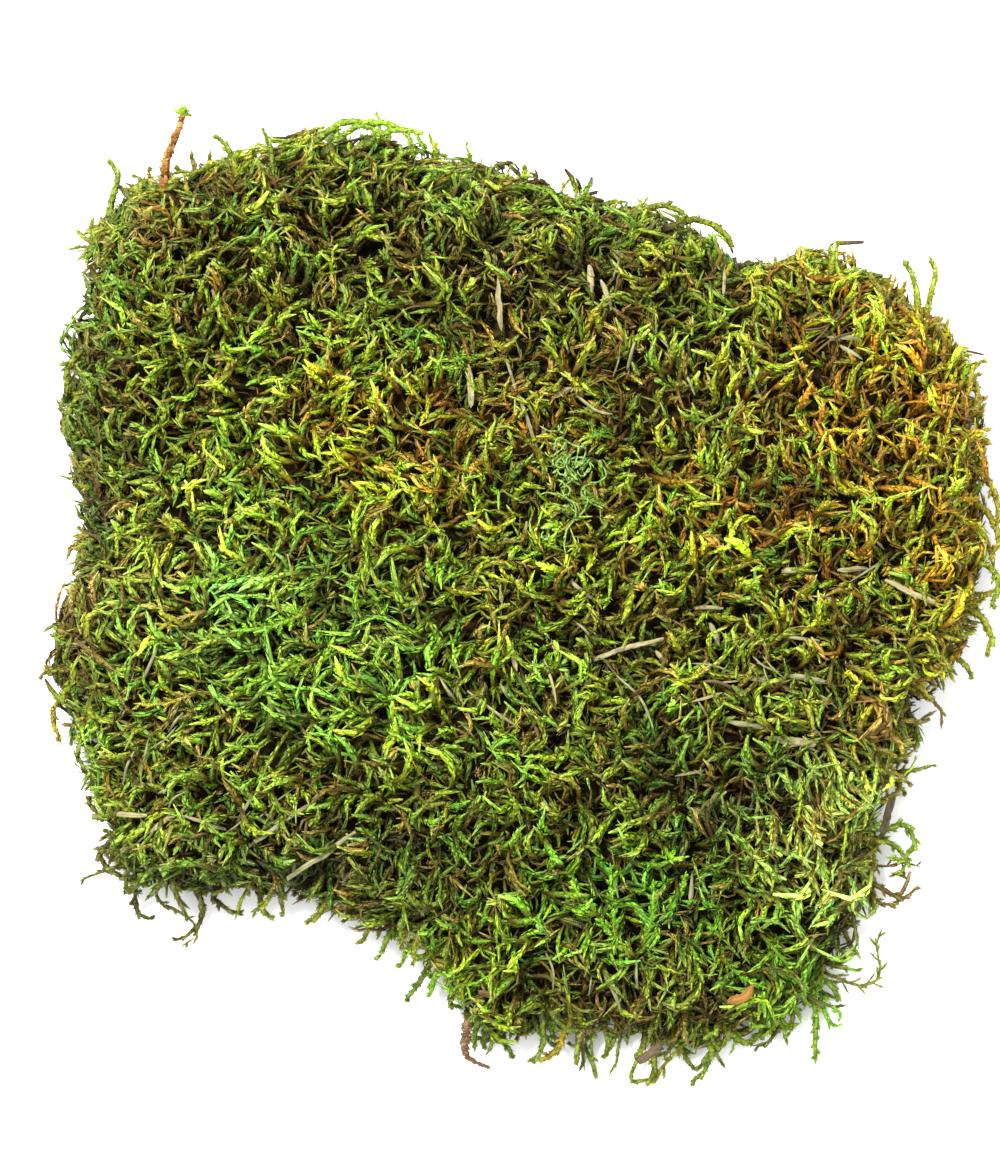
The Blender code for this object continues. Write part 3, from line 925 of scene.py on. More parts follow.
class LeafyMesh:
    """Many shoots joined into one mesh with its attributes and bake map."""

    def __init__(self, name: str) -> None:
        """Starts an empty mesh.

        Args:
            name: the piece's name.
        """
        self.name = name
        self.batches: list[dict[str, Array]] = []

    def add(self, template: Template, spines: Spines) -> None:
        """Adds the template along each spine.

        Args:
            template: the straight shoot.
            spines: where the copies go and how they look.
        """
        if not len(spines):
            return
        count, size = len(spines), len(template.points)
        along = np.clip(template.points[:, 1], 0, 1)
        # Painted shade: brightness runs from the darker heel up to the tip, times each point's random tone.
        gain = (spines.shade - spines.shade_heel)[:, None]
        shade = spines.shade_heel[:, None] + gain * along[None, :] ** 0.8
        self.batches.append(
            {
                "co": spines.bent(template).reshape(-1, 3),
                "faces": (template.faces[None] + (np.arange(count) * size)[:, None, None]).reshape(-1, 3),
                "cells": np.tile(template.cells, (count, 1)),
                "shoot": np.repeat(np.arange(count), size),
                "along": np.tile(along, count),
                "shade": (shade * template.tone[None, :]).reshape(-1),
                "edge": np.tile(template.edge, count),
                "body": np.repeat(spines.body, size, 0),
                "heel": np.repeat(spines.heel_colour, size, 0),
            }
        )

    def triangles(self) -> int:
        """How many triangles it has so far."""
        return sum(len(b["faces"]) for b in self.batches)

    def piece(self, finish: bpy.types.Material) -> bpy.types.Object:
        """The finished object, linked to the scene.

        Args:
            finish: its material.

        Returns:
            The object.
        """
        sizes = [len(b["co"]) for b in self.batches]
        starts = np.concatenate([[0], np.cumsum(sizes)[:-1]])
        shoots = np.cumsum([0] + [b["shoot"][-1] + 1 for b in self.batches])
        join = {
            "co": np.concatenate([b["co"] for b in self.batches]),
            "faces": np.concatenate([b["faces"] + s for b, s in zip(self.batches, starts)]),
            "shoot": np.concatenate([b["shoot"] + s for b, s in zip(self.batches, shoots)]),
        }
        for key in ("cells", "along", "edge", "shade", "body", "heel"):
            join[key] = np.concatenate([b[key] for b in self.batches])
        lowest = np.full(shoots[-1], np.inf)
        np.minimum.at(lowest, join["shoot"], join["co"][:, 2])
        join["co"][:, 2] += np.maximum(FLOOR_GAP - lowest, 0)[join["shoot"]]
        mesh = bpy.data.meshes.new(self.name)
        mesh.vertices.add(len(join["co"]))
        mesh.vertices.foreach_set("co", join["co"].astype(np.float32).ravel())
        mesh.loops.add(join["faces"].size)
        mesh.loops.foreach_set("vertex_index", join["faces"].astype(np.int32).ravel())
        mesh.polygons.add(len(join["faces"]))
        mesh.polygons.foreach_set("loop_start", np.arange(0, join["faces"].size, 3, dtype=np.int32))
        across = math.ceil(math.sqrt(shoots[-1]))
        corner = np.stack([join["shoot"] % across, join["shoot"] // across], 1)
        bake = ((corner + 0.03 + 0.94 * join["cells"]) / across)[join["faces"].ravel()]
        mesh.uv_layers.new(name=BAKE_MAP).data.foreach_set("uv", bake.astype(np.float32).ravel())
        for key in ("along", "edge", "shade"):
            layer = mesh.attributes.new(key, "FLOAT", "POINT")
            layer.data.foreach_set("value", join[key].astype(np.float32))
        for key in ("body", "heel"):
            layer = mesh.attributes.new(key, "FLOAT_COLOR", "POINT")
            rgba = np.concatenate([join[key], np.ones((len(join[key]), 1))], 1)
            layer.data.foreach_set("color", rgba.astype(np.float32).ravel())
        mesh.materials.append(finish)
        mesh.update()
        mesh.validate()
        return linked(self.name, mesh)


class Nursery:
    """Holds the templates, so that each is built once."""

    def __init__(self) -> None:
        """Builds a few of every kind."""
        self.templates = {
            kind: [kind.value.template(SEED + 31 * n + k) for k in range(TEMPLATES_A_KIND)]
            for n, kind in enumerate(ShootKind)
        }

    def plant(self, mesh: LeafyMesh, spines: Spines, kinds: Array, rng: np.random.Generator) -> None:
        """Adds every shoot to the mesh.

        Args:
            mesh: the mesh to add to.
            spines: the shoots.
            kinds: each shoot's place in the list of kinds.
            rng: the source of chance.
        """
        which = rng.integers(0, TEMPLATES_A_KIND, len(spines))
        for n, kind in enumerate(ShootKind):
            for k, template in enumerate(self.templates[kind]):
                mesh.add(template, spines.only((kinds == n) & (which == k)))


# ---- The sheet's surface ----


class SheetSurface:
    """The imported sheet: where shoot tips lie, and which way is out."""

    def __init__(self) -> None:
        """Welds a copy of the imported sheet, and reads its faces."""
        self.body = bmesh.new()
        self.body.from_mesh(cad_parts[SHEET].data)
        bmesh.ops.remove_doubles(self.body, verts=self.body.verts, dist=1e-5)
        bmesh.ops.triangulate(self.body, faces=self.body.faces)
        bmesh.ops.recalc_face_normals(self.body, faces=self.body.faces)
        self.body.normal_update()
        self.tree = BVHTree.FromBMesh(self.body)
        faces = list(self.body.faces)
        self.corners = np.array([[v.co[:] for v in f.verts] for f in faces])
        self.normals = np.array([[v.normal[:] for v in f.verts] for f in faces])
        self.flat = np.array([f.normal[:] for f in faces])
        self.areas = np.array([f.calc_area() for f in faces])

    def spots(
        self, spacing: float, rng: np.random.Generator, lowest_up: float = -0.35
    ) -> tuple[Array, Array]:
        """Evenly scattered points of the top and the walls.

        Args:
            spacing: how far apart they are, roughly.
            rng: the source of chance.
            lowest_up: faces that point further down than this get none.

        Returns:
            The points and the outward directions there.
        """
        weight = np.where(self.flat[:, 2] > lowest_up, self.areas, 0)
        tries = int(weight.sum() / spacing**2 * 3)
        chosen = rng.choice(len(weight), tries, p=weight / weight.sum())
        a, b = rng.random(tries), rng.random(tries)
        over = a + b > 1
        a[over], b[over] = 1 - a[over], 1 - b[over]
        share = np.stack([1 - a - b, a, b], 1)[:, :, None]
        points = (self.corners[chosen] * share).sum(1)
        normals = unit((self.normals[chosen] * share).sum(1))
        cells = np.floor(points / spacing).astype(int)
        _, first = np.unique(cells, axis=0, return_index=True)
        first = np.sort(first)
        return points[first], normals[first]

    def top(self, x: float, y: float) -> float:
        """The height of the sheet's top over a point of the part's frame, or 0 beside it."""
        hit = self.tree.ray_cast(Vector((x, y, 1.0)), Vector((0, 0, -1)))[0]
        return hit.z if hit is not None else 0.0

    def above(self, place: Vector, lift: float, lowest: float = 0.0) -> Vector:
        """The point lift metres over the turf, or over a lowest height beside it, at a place."""
        return Vector((place.x, place.y, max(self.top(place.x, place.y), lowest) + lift))


# ---- The turf ----


@dataclass(frozen=True)
class Storey:
    """One layer of the turf: how close, long, thick and deep its shoots are, and of what kinds."""

    name: str
    spacing: float
    length: float
    girth: float
    depth: tuple[float, float]
    kinds: dict[ShootKind, float]
    spread: float = 0.2
    heel_share: float = 0.0
    husk_share: float = 0.0
    # painted shade: the storey's brightness, lower for the understorey under the canopy
    brightness: float = 1.0


CANOPY = Storey(
    "canopy", 2.56 * MM, 10.0 * MM, 1.85 * MM, (-1.3, 2.6),
    {ShootKind.ROPE: 0.28, ShootKind.PLUMP: 0.2, ShootKind.FEATHER: 0.18,
     ShootKind.HOOKED: 0.18, ShootKind.TUFT: 0.1,
     ShootKind.ROSETTE: 0.06},
    0.24,
)  # fmt: skip
UNDERSTOREY = Storey(
    "understorey", 3.0 * MM, 7.4 * MM, 1.05 * MM, (0.2, 4.4), {ShootKind.THREAD: 1.0}, 0.3, 0.42, 0.26, 0.92
)


@dataclass
class Turf:
    """The thousands of leafy shoots of the sheet, in two storeys and split by region."""

    surface: SheetSurface
    growth: GrowthField
    nursery: Nursery
    storeys: tuple[Storey, ...] = (CANOPY, UNDERSTOREY)
    floor_gap: float = 0.4 * MM
    husk: Colour = srgb(146, 104, 44)
    tuft_height: float = 5.0
    clumping: float = 5.0
    hollow_bias: float = 0.05
    daylight: float = 0.71
    cast: tuple[float, float, float] = (0.96, 1.03, 1.0)
    tint_gain: float = 0.24
    warm_cast: tuple[float, float, float] = (0.125, -0.03, -0.12)
    drift_gain: tuple[float, float] = (1.2, 1.7)
    cool_share: float = 0.26
    cool_cast: tuple[float, float, float] = (0.8, 1.02, 1.4)
    deepest_tip: float = -2.6
    rosette_rise: float = 1.25
    rosette_gilt: float = 0.75
    dead_girth: float = 0.72
    # painted shade: a heel's brightness as a share of its tip's
    heel_shade: float = 0.42
    columns: int = 2
    rows: int = 3
    names: tuple[str, ...] = (
        "bottom_left", "bottom_right", "middle_left", "middle_right", "top_left", "top_right",
    )
    pieces: list[bpy.types.Object] = field(default_factory=list)

    def directions(
        self, points: Array, normals: Array, mixed: dict[str, Array], wall: Array, climb: Array,
        rng: np.random.Generator,
    ) -> Array:
        """The way each shoot points, along the surface.

        Args:
            points: where the tips lie.
            normals: the outward direction at each.
            mixed: the growth at each.
            wall: how steep the sheet is there, from 0 to 1.
            climb: the plan vector that climbs each one's tuft.
            rng: the source of chance.

        Returns:
            One unit vector a row.
        """
        free = np.clip(1.25 - 0.3 * np.linalg.norm(mixed["lean"], axis=1) - 0.5 * mixed["flat"], 0.3, 1)
        lean = self.growth.swirled(self.growth.plan.millimetres(points), mixed["lean"], free, rng)
        direction = np.concatenate([lean + climb * self.clumping, np.zeros((len(points), 1))], 1)
        outward = normals * np.array([1, 1, 0])
        direction = direction + outward * (0.9 * wall[:, None]) + rng.normal(0, 0.12, (len(points), 3))
        return unit(direction - (direction * normals).sum(1, keepdims=True) * normals * 0.7)

    def bodies(
        self, storey: Storey, plan: Array, mixed: dict[str, Array], rosette: Array, dead: Array,
        rng: np.random.Generator,
    ) -> Array:
        """The colour of each shoot.

        Args:
            storey: the layer.
            plan: where the shoots are, in plan millimetres.
            mixed: the growth at each.
            rosette: which are rosettes.
            dead: which are dead.
            rng: the source of chance.

        Returns:
            One colour a row.
        """
        count = len(plan)
        tint = rng.normal(0, 1, (count, 2))
        drift = self.growth.ripple(plan, self.growth.drift_spacing, 5.1)
        warmth = self.growth.ripple(plan, self.growth.drift_spacing * 0.8, 9.3)
        tint = tint + np.stack([drift * self.drift_gain[0], warmth * self.drift_gain[1]], 1)
        body = self.daylight * mixed["body"] * np.array(self.cast) * np.exp(self.tint_gain * tint[:, :1])
        body = body * np.exp(tint[:, 1:] * np.array([self.warm_cast]))
        cool = rng.random(count) < self.cool_share
        body = np.where(cool[:, None], body * np.array(self.cool_cast), body)
        husk = np.array(self.husk) * np.exp(0.3 * tint[:, :1])
        gilt = rng.random(count) < np.where(rosette, self.rosette_gilt, mixed["gilt"] + storey.heel_share)
        gilded = mixed["heel"] * (0.95 + 0.25 * tint[:, 1:]).clip(0.5, 1.6) + body * 0.25
        body = np.where(gilt[:, None], gilded, body)
        return np.where(dead[:, None], husk * 0.7 + body * 0.25, body)

    def spines(
        self, storey: Storey, points: Array, normals: Array, rng: np.random.Generator
    ) -> tuple[Spines, Array]:
        """One storey's shoots, whose tips are near those points.

        Args:
            storey: the layer.
            points: where the tips lie on the sheet.
            normals: the outward direction at each.
            rng: the source of chance.

        Returns:
            The shoots, and each one's place in the list of kinds.
        """
        count = len(points)
        plan = self.growth.plan.millimetres(points)
        mixed = self.growth.blend(plan)
        shares = np.array([storey.kinds.get(kind, 0.0) for kind in ShootKind])
        kinds = rng.choice(len(ShootKind), count, p=shares / shares.sum())
        rosette = kinds == ShootKind.ROSETTE.place
        wall = smooth_step(0.75, 0.25, normals[:, 2])
        height, climb = self.growth.tufts(plan)
        height = height - self.hollow_bias
        direction = self.directions(points, normals, mixed, wall, climb, rng)
        rise = rng.normal(0.6, 0.28, count) * (1 - 0.72 * mixed["flat"]) - 0.2 * wall
        rise = np.where(rosette, self.rosette_rise, np.clip(rise, 0.03, 1.2))
        deep = storey.depth[0] + (storey.depth[1] - storey.depth[0]) * rng.random(count) ** 1.3
        deep = np.maximum(deep - height * self.tuft_height, self.deepest_tip)
        foot = wall * smooth_step(14 * MM, 3 * MM, points[:, 2])
        dead = rng.random(count) < mixed["dead"] * 0.8 - height * 0.25 + 0.25 * foot
        dead |= rng.random(count) < storey.husk_share
        size = storey.length * mixed["length"] * np.clip(rng.normal(1, 0.22, count), 0.55, 1.7)
        stoutness = np.clip(np.exp(rng.normal(0, storey.spread, count)), 0.55, 1.45)
        width = storey.girth * mixed["girth"] * stoutness
        width = np.where(dead, width * self.dead_girth, width)
        tip = points - normals * (deep * MM)[:, None] + direction * (size * 0.25)[:, None]
        upward = unit(normals + np.array([0, 0, 0.35]))
        heading = direction * np.cos(rise)[:, None] + upward * np.sin(rise)[:, None]
        heel = tip - heading * size[:, None]
        sideways = np.cross(direction, upward) * rng.normal(0, 0.5, count)[:, None]
        arch = upward * rng.normal(0.24, 0.14, count)[:, None]
        bend = (heel + tip) / 2 + (arch + sideways) * size[:, None]
        for part in (heel, bend, tip):
            part[:, 2] = np.maximum(part[:, 2], self.floor_gap + width / 2)
        body = self.bodies(storey, plan, mixed, rosette, dead, rng)
        # Painted shade and highlight: tips sunk deeper, the understorey, wall shoots near the floor and tuft
        # hollows darker; tuft crests brighter.
        low = smooth_step(0.0, 16 * MM, points[:, 2]) * 0.55 + 0.45
        shade = np.clip(1.07 - 0.125 * (deep + 1.3), 0.32, 1.25) * storey.brightness
        shade = shade * np.where(wall > 0.5, low, 1) * np.exp(height * 0.5)
        up = unit(upward + rng.normal(0, 0.25, (count, 3)))
        # Painted shade: each heel at a share of its tip's brightness.
        heel_shade = shade * self.heel_shade
        return Spines(heel, bend, tip, up, width, body, mixed["heel"], shade, heel_shade), kinds

    def build(self) -> None:
        """Builds the pieces."""
        rng = np.random.default_rng(SEED)
        for storey in self.storeys:
            points, normals = self.surface.spots(storey.spacing, rng)
            spines, kinds = self.spines(storey, points, normals, rng)
            low, high = points.min(0), points.max(0)
            share = (points - low) / (high - low)
            column = np.clip((share[:, 0] * self.columns).astype(int), 0, self.columns - 1)
            row = np.clip((share[:, 1] * self.rows).astype(int), 0, self.rows - 1)
            for n, name in enumerate(self.names):
                here = (row * self.columns + column) == n
                mesh = LeafyMesh(f"{storey.name}_{name}")
                self.nursery.plant(mesh, spines.only(here), kinds[here], rng)
                log.info("%s: %d shoots, %d triangles", mesh.name, here.sum(), mesh.triangles())
                self.pieces.append(mesh.piece(bpy.data.materials[LEAVES.name]))

    def dress(self) -> None:
        """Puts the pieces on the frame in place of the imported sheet."""
        for piece in self.pieces:
            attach(piece, "root")
            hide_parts(SHEET)


@dataclass
class Thatch:
    """The felted bed of dead stems that the shoots grow out of."""

    surface: SheetSurface
    depth: float = 6.5 * MM
    rough: float = 1.6 * MM
    rough_spacing: float = 5.0 * MM
    pieces: list[bpy.types.Object] = field(default_factory=list)

    def build(self) -> None:
        """Shrinks a copy of the sheet into a lumpy bed."""
        body = self.surface.body.copy()
        bmesh.ops.subdivide_edges(body, edges=body.edges, cuts=1, use_grid_fill=True)
        body.normal_update()
        floor = min(v.co.z for v in body.verts)
        for vert in body.verts:
            inward = min(self.depth, max(0.0, (vert.co.z - floor)) * 0.55)
            lump = noise.noise(vert.co / self.rough_spacing) * self.rough
            sideways = Vector((vert.normal.x, vert.normal.y, 0))
            vert.co -= Vector((0, 0, max(0.0, vert.normal.z))) * inward + sideways * self.depth * 0.8
            if vert.co.z > 2 * MM:
                vert.co += vert.normal * lump
        bmesh.ops.triangulate(body, faces=body.faces)
        mesh = bpy.data.meshes.new("thatch_bed")
        body.to_mesh(mesh)
        body.free()
        # Its finish is near-black, partly as painted shade for the gaps between shoots.
        mesh.materials.append(bpy.data.materials[THATCH.name])
        self.pieces.append(linked("thatch_bed", mesh))
        log.info("thatch_bed: %d faces", len(mesh.polygons))

    def dress(self) -> None:
        """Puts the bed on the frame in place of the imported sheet."""
        for piece in self.pieces:
            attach(piece, "root")
            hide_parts(SHEET)


# ---- Fronds ----


@dataclass(frozen=True)
class FrondShape:
    """One frond: its route on the plan, its branching and its colours."""

    route: tuple[tuple[float, ...], ...]
    girth: float = 1.5
    branches: int = 6
    branch_length: float = 3.4
    branch_girth: float = 1.1
    branch_angle: float = 48.0
    first_branch: float = 0.25
    body: Colour = srgb(140, 162, 30)
    heel: Colour = OLIVE_HEEL
    star: bool = False
    branch_body: Colour | None = None
    taper: float = 0.45

    def tone(self, share: float) -> Colour:
        """The colour at a share of the way along, from the heel's to the body's."""
        blend = min(1.0, max(0.0, share * 1.7))
        return tuple(h + (b - h) * blend for h, b in zip(self.heel, self.body))

    def knots(
        self, plan: SheetPlan, surface: SheetSurface | None = None, lift: float = 0.0
    ) -> list[Vector]:
        """The route's points in the part's frame, at their own heights or over the sheet's top.

        Args:
            plan: the sheet's plan.
            surface: the sheet, for a route with no heights of its own.
            lift: how far above the sheet such a route lies.

        Returns:
            The points.
        """
        points = [plan.at(*spot) for spot in self.route]
        if surface is not None:
            for point in points:
                point.z = surface.top(point.x, point.y) + lift
        return points


class FrondMaker:
    """Grows a frond's leafy stem, branch shoots and tip star into a mesh."""

    segment = 4.6 * MM
    lowest_spur = 1.4 * MM
    star_turns = (-75, -38, 38, 75, 0)
    star_reach = 2.6 * MM
    spur_kinds = (ShootKind.ROPE, ShootKind.PLUMP, ShootKind.FEATHER, ShootKind.HOOKED)

    def __init__(self, nursery: Nursery, rng: np.random.Generator) -> None:
        """Keeps what every frond needs.

        Args:
            nursery: the shoot templates.
            rng: the source of chance.
        """
        self.nursery = nursery
        self.rng = rng

    def grow(self, mesh: LeafyMesh, shape: FrondShape, knots: list[Vector]) -> None:
        """Adds one frond.

        Args:
            mesh: the mesh to add to.
            shape: the frond's sizes and colours.
            knots: its route in the part's frame.
        """
        route = smooth_route(knots, 0.8 * MM)
        self.stem(mesh, shape, route)
        spurs = self.branches(shape, route) + (self.star(shape, route) if shape.star else [])
        if not spurs:
            return
        heads, tips, tones = (np.array(column) for column in zip(*spurs))
        girth, rng = shape.branch_girth * MM, self.rng
        # Painted shade and highlight: spurs at brightness 0.8 at the heel and 1.05 at the tip.
        shoots = shoots_along(heads, tips, girth, shape.body, shape.body, rng, 0.1, 0.1, 1.05, 0.8)
        shoots.body[:] = tones * np.exp(rng.normal(0, 0.1, (len(tones), 1)))
        shoots.heel_colour[:] = tones * 0.8
        for end in (shoots.heel, shoots.tip):
            end[:, 2] = np.maximum(end[:, 2], self.lowest_spur)
        kinds = rng.choice([kind.place for kind in self.spur_kinds], len(shoots))
        self.nursery.plant(mesh, shoots, kinds, rng)

    def stem(self, mesh: LeafyMesh, shape: FrondShape, route: list[Vector]) -> None:
        """Adds the leafy stem, as overlapping runners with a rope at its tip.

        Args:
            mesh: the mesh to add to.
            shape: the frond's sizes and colours.
            route: close points along it.
        """
        length = sum((b - a).length for a, b in zip(route, route[1:]))
        pieces = max(1, round(length / self.segment))
        marks = [route[round(i * (len(route) - 1) / pieces)] for i in range(pieces + 1)]
        for i, (start, end) in enumerate(zip(marks, marks[1:])):
            last = i == pieces - 1
            middle = route[round((i + 0.5) * (len(route) - 1) / pieces)]
            share = (i + 0.5) / pieces
            girth = shape.girth * (1.08 - shape.taper * share) * MM
            reach = end + (end - start) * (0.0 if last else 0.4)
            tones = shape.tone(share + 0.15), shape.tone(share - 0.15)
            # Painted shade: each stem piece darker at its heel, most where the first one leaves the turf.
            ends, shades = (np.array(start), np.array(reach)), (1.0, 0.85 if i else 0.6)
            shoot = shoots_along(*ends, girth, *tones, self.rng, 0, 0, *shades)
            shoot.bend[:] = np.array(middle * 2 - (start + end) / 2)
            kind = ShootKind.ROPE if last else ShootKind.RUNNER
            self.nursery.plant(mesh, shoot, np.array([kind.place]), self.rng)

    def branches(self, shape: FrondShape, route: list[Vector]) -> list[tuple[Vector, Vector, Colour]]:
        """The side shoots, left and right by turns.

        Args:
            shape: the frond's sizes and colours.
            route: close points along its stem.

        Returns:
            Each one's heel, tip and colour.
        """
        spurs = []
        for i in range(shape.branches):
            share = shape.first_branch + (0.93 - shape.first_branch) * i / max(1, shape.branches - 1)
            at = share * (len(route) - 1)
            here = route[int(at)]
            ahead = (route[min(len(route) - 1, int(at) + 1)] - route[max(0, int(at) - 1)]).normalized()
            side = ahead.cross(Vector((0, 0, 1))).normalized() * (1 if i % 2 else -1)
            turn = math.radians(shape.branch_angle + self.rng.normal(0, 8))
            size = shape.branch_length * MM * (1.05 - 0.55 * share) * math.exp(self.rng.normal(0, 0.16))
            climb = Vector((0, 0, self.rng.normal(0.08, 0.16)))
            reach = ahead * math.cos(turn) + side * math.sin(turn) + climb
            spurs.append((here, here + reach * size, shape.tone(share + 0.3)))
        return spurs

    def star(self, shape: FrondShape, route: list[Vector]) -> list[tuple[Vector, Vector, Colour]]:
        """The shoots that spread at the frond's tip.

        Args:
            shape: the frond's sizes and colours.
            route: close points along its stem.

        Returns:
            Each one's heel, tip and colour.
        """
        ahead = (route[-1] - route[-3]).normalized()
        side = ahead.cross(Vector((0, 0, 1))).normalized()
        spurs = []
        for turn in self.star_turns:
            angle = math.radians(turn + self.rng.normal(0, 8))
            tip = route[-2] + (ahead * math.cos(angle) + side * math.sin(angle)) * self.star_reach
            spurs.append((route[-2], tip, shape.branch_body or shape.body))
        return spurs


LIVE_GREEN = srgb(112, 172, 22)
PALE_GREEN = srgb(162, 190, 33)
OLIVE = srgb(122, 132, 20)
DARK_STEM = srgb(92, 64, 17)

LOOSE_FRONDS = {
    "frond_top_left_tall": FrondShape(((-91.8, 96, 16), (-89.6, 104, 17), (-88.8, 110, 19),
        (-86.1, 116, 22), (-84.2, 121.4, 24)), 3.5, 4, 2.6, 1.5, 26, 0.3, srgb(158, 106, 48), DARK_STEM,
        True, srgb(150, 184, 36)),
    "frond_top_left_low": FrondShape(((-104, 90, 11), (-104, 95, 13), (-102.5, 102, 14),
        (-101.4, 106, 15), (-103.6, 111, 16)), 2.7, 3, 2.4, 1.4, 30, 0.2, srgb(120, 142, 40), OLIVE_HEEL),
    "frond_top_a": FrondShape(((-70, 100, 17), (-71, 106, 19), (-73, 112, 21), (-76.6, 116, 23)), 2.3, 5,
        2.8, 1.4, 32, 0.2, srgb(124, 142, 26), GOLD_HEEL),
    "frond_top_b": FrondShape(((-61.5, 101, 18), (-62, 107, 20), (-62.8, 113.5, 21), (-65.2, 118, 22)),
        1.9, 4, 2.6, 1.2, 34, 0.2, srgb(104, 126, 24), DARK_HEEL),
    "frond_right_upper_a": FrondShape(((99.5, 62, 19), (99.8, 68, 20), (99.4, 75, 22), (98, 80.5, 23),
        (95.4, 84.4, 24)), 2.7, 2, 2.6, 1.2, 34, 0.2, srgb(140, 156, 34), GOLD_HEEL),
    "frond_right_upper_b": FrondShape(((100.5, 61, 16), (101.6, 68, 18), (103, 76, 21), (104, 80.5, 22),
        (102.4, 85.4, 23)), 2.7, 2, 2.4, 1.1, 34, 0.2, srgb(140, 154, 30), GOLD_HEEL),
    "frond_right": FrondShape(((108, 44, 15), (112, 50, 17), (113.5, 56.5, 19), (117, 60, 20)), 1.8, 2,
        2.6, 1.2, 40, 0.3, srgb(150, 146, 26), GOLD_HEEL),
    "frond_right_lower_a": FrondShape(((86, -52, 8), (91, -48, 10), (97, -44, 12), (100, -39.4, 13)), 0.8,
        3, 2.4, 0.7, 35, 0.2, PALE_GREEN, OLIVE_HEEL),
    "frond_right_lower_b": FrondShape(((84, -66, 7), (91, -67.4, 6), (97, -66.6, 5), (101.6, -67.8, 4)),
        1.0, 5, 3.0, 0.8, 60, 0.1, srgb(118, 98, 40), DARK_HEEL),
    "frond_sprig": FrondShape(((76.5, -94, 8), (81.5, -96.2, 7), (86.3, -97.4, 6), (90.2, -95.4, 5),
        (90.6, -91.5, 4.5), (90, -87.5, 4), (91.5, -83, 3.5)), 1.1, 12, 4.6, 0.8, 38, 0.1, OLIVE,
        DARK_HEEL),
    "frond_bottom_right": FrondShape(((72, -91, 8), (73.5, -98, 6), (74.6, -105, 4), (74.5, -111, 3),
        (74.6, -117.5, 2.2)), 2.5, 14, 3.0, 1.4, 40, 0.05, srgb(122, 158, 34), OLIVE_HEEL),
    "frond_bottom_a": FrondShape(((47, -103, 9), (42.5, -110.5, 6), (38.6, -114.8, 4), (35.5, -118.8, 3),
        (34, -122.4, 2.2)), 1.7, 8, 3.6, 1.2, 35, 0.05, srgb(150, 147, 24), DARK_HEEL),
    "frond_bottom_b": FrondShape(((17.5, -100, 8), (18, -108, 5), (18.3, -115.5, 3), (19.8, -121, 2.2)),
        1.2, 6, 2.8, 0.9, 38, 0.1, srgb(122, 135, 22), DARK_HEEL),
    "frond_bottom_c": FrondShape(((16, -101, 8), (12.2, -107.5, 6), (9.5, -113.3, 5), (5.8, -115.8, 4),
        (1.6, -116.4, 3)), 2.7, 7, 3.0, 1.4, 40, 0.1, srgb(150, 134, 30), OLIVE_HEEL),
    "frond_notch": FrondShape(((-12, -84, 10), (-17, -90, 9), (-20, -94, 7.5), (-23.8, -98.4, 6)), 1.7, 7,
        3.2, 1.2, 42, 0.1, srgb(136, 180, 26), OLIVE_HEEL),
    "frond_bottom_left": FrondShape(((-93, -66, 9), (-92, -71, 7), (-91, -76, 6), (-86.6, -78.6, 5),
        (-82.9, -81.2, 4), (-81.6, -84.6, 3), (-86, -88, 2.2)), 1.1, 7, 2.6, 0.8, 45, 0.1,
        srgb(112, 114, 22), DARK_HEEL),
    "frond_left_corner": FrondShape(((-92, -64, 9), (-96.5, -66.4, 8), (-101.6, -66.4, 6.5),
        (-106.3, -62.6, 5.4)), 1.1, 5, 2.6, 0.9, 45, 0.1, srgb(104, 104, 22), DARK_HEEL),
}

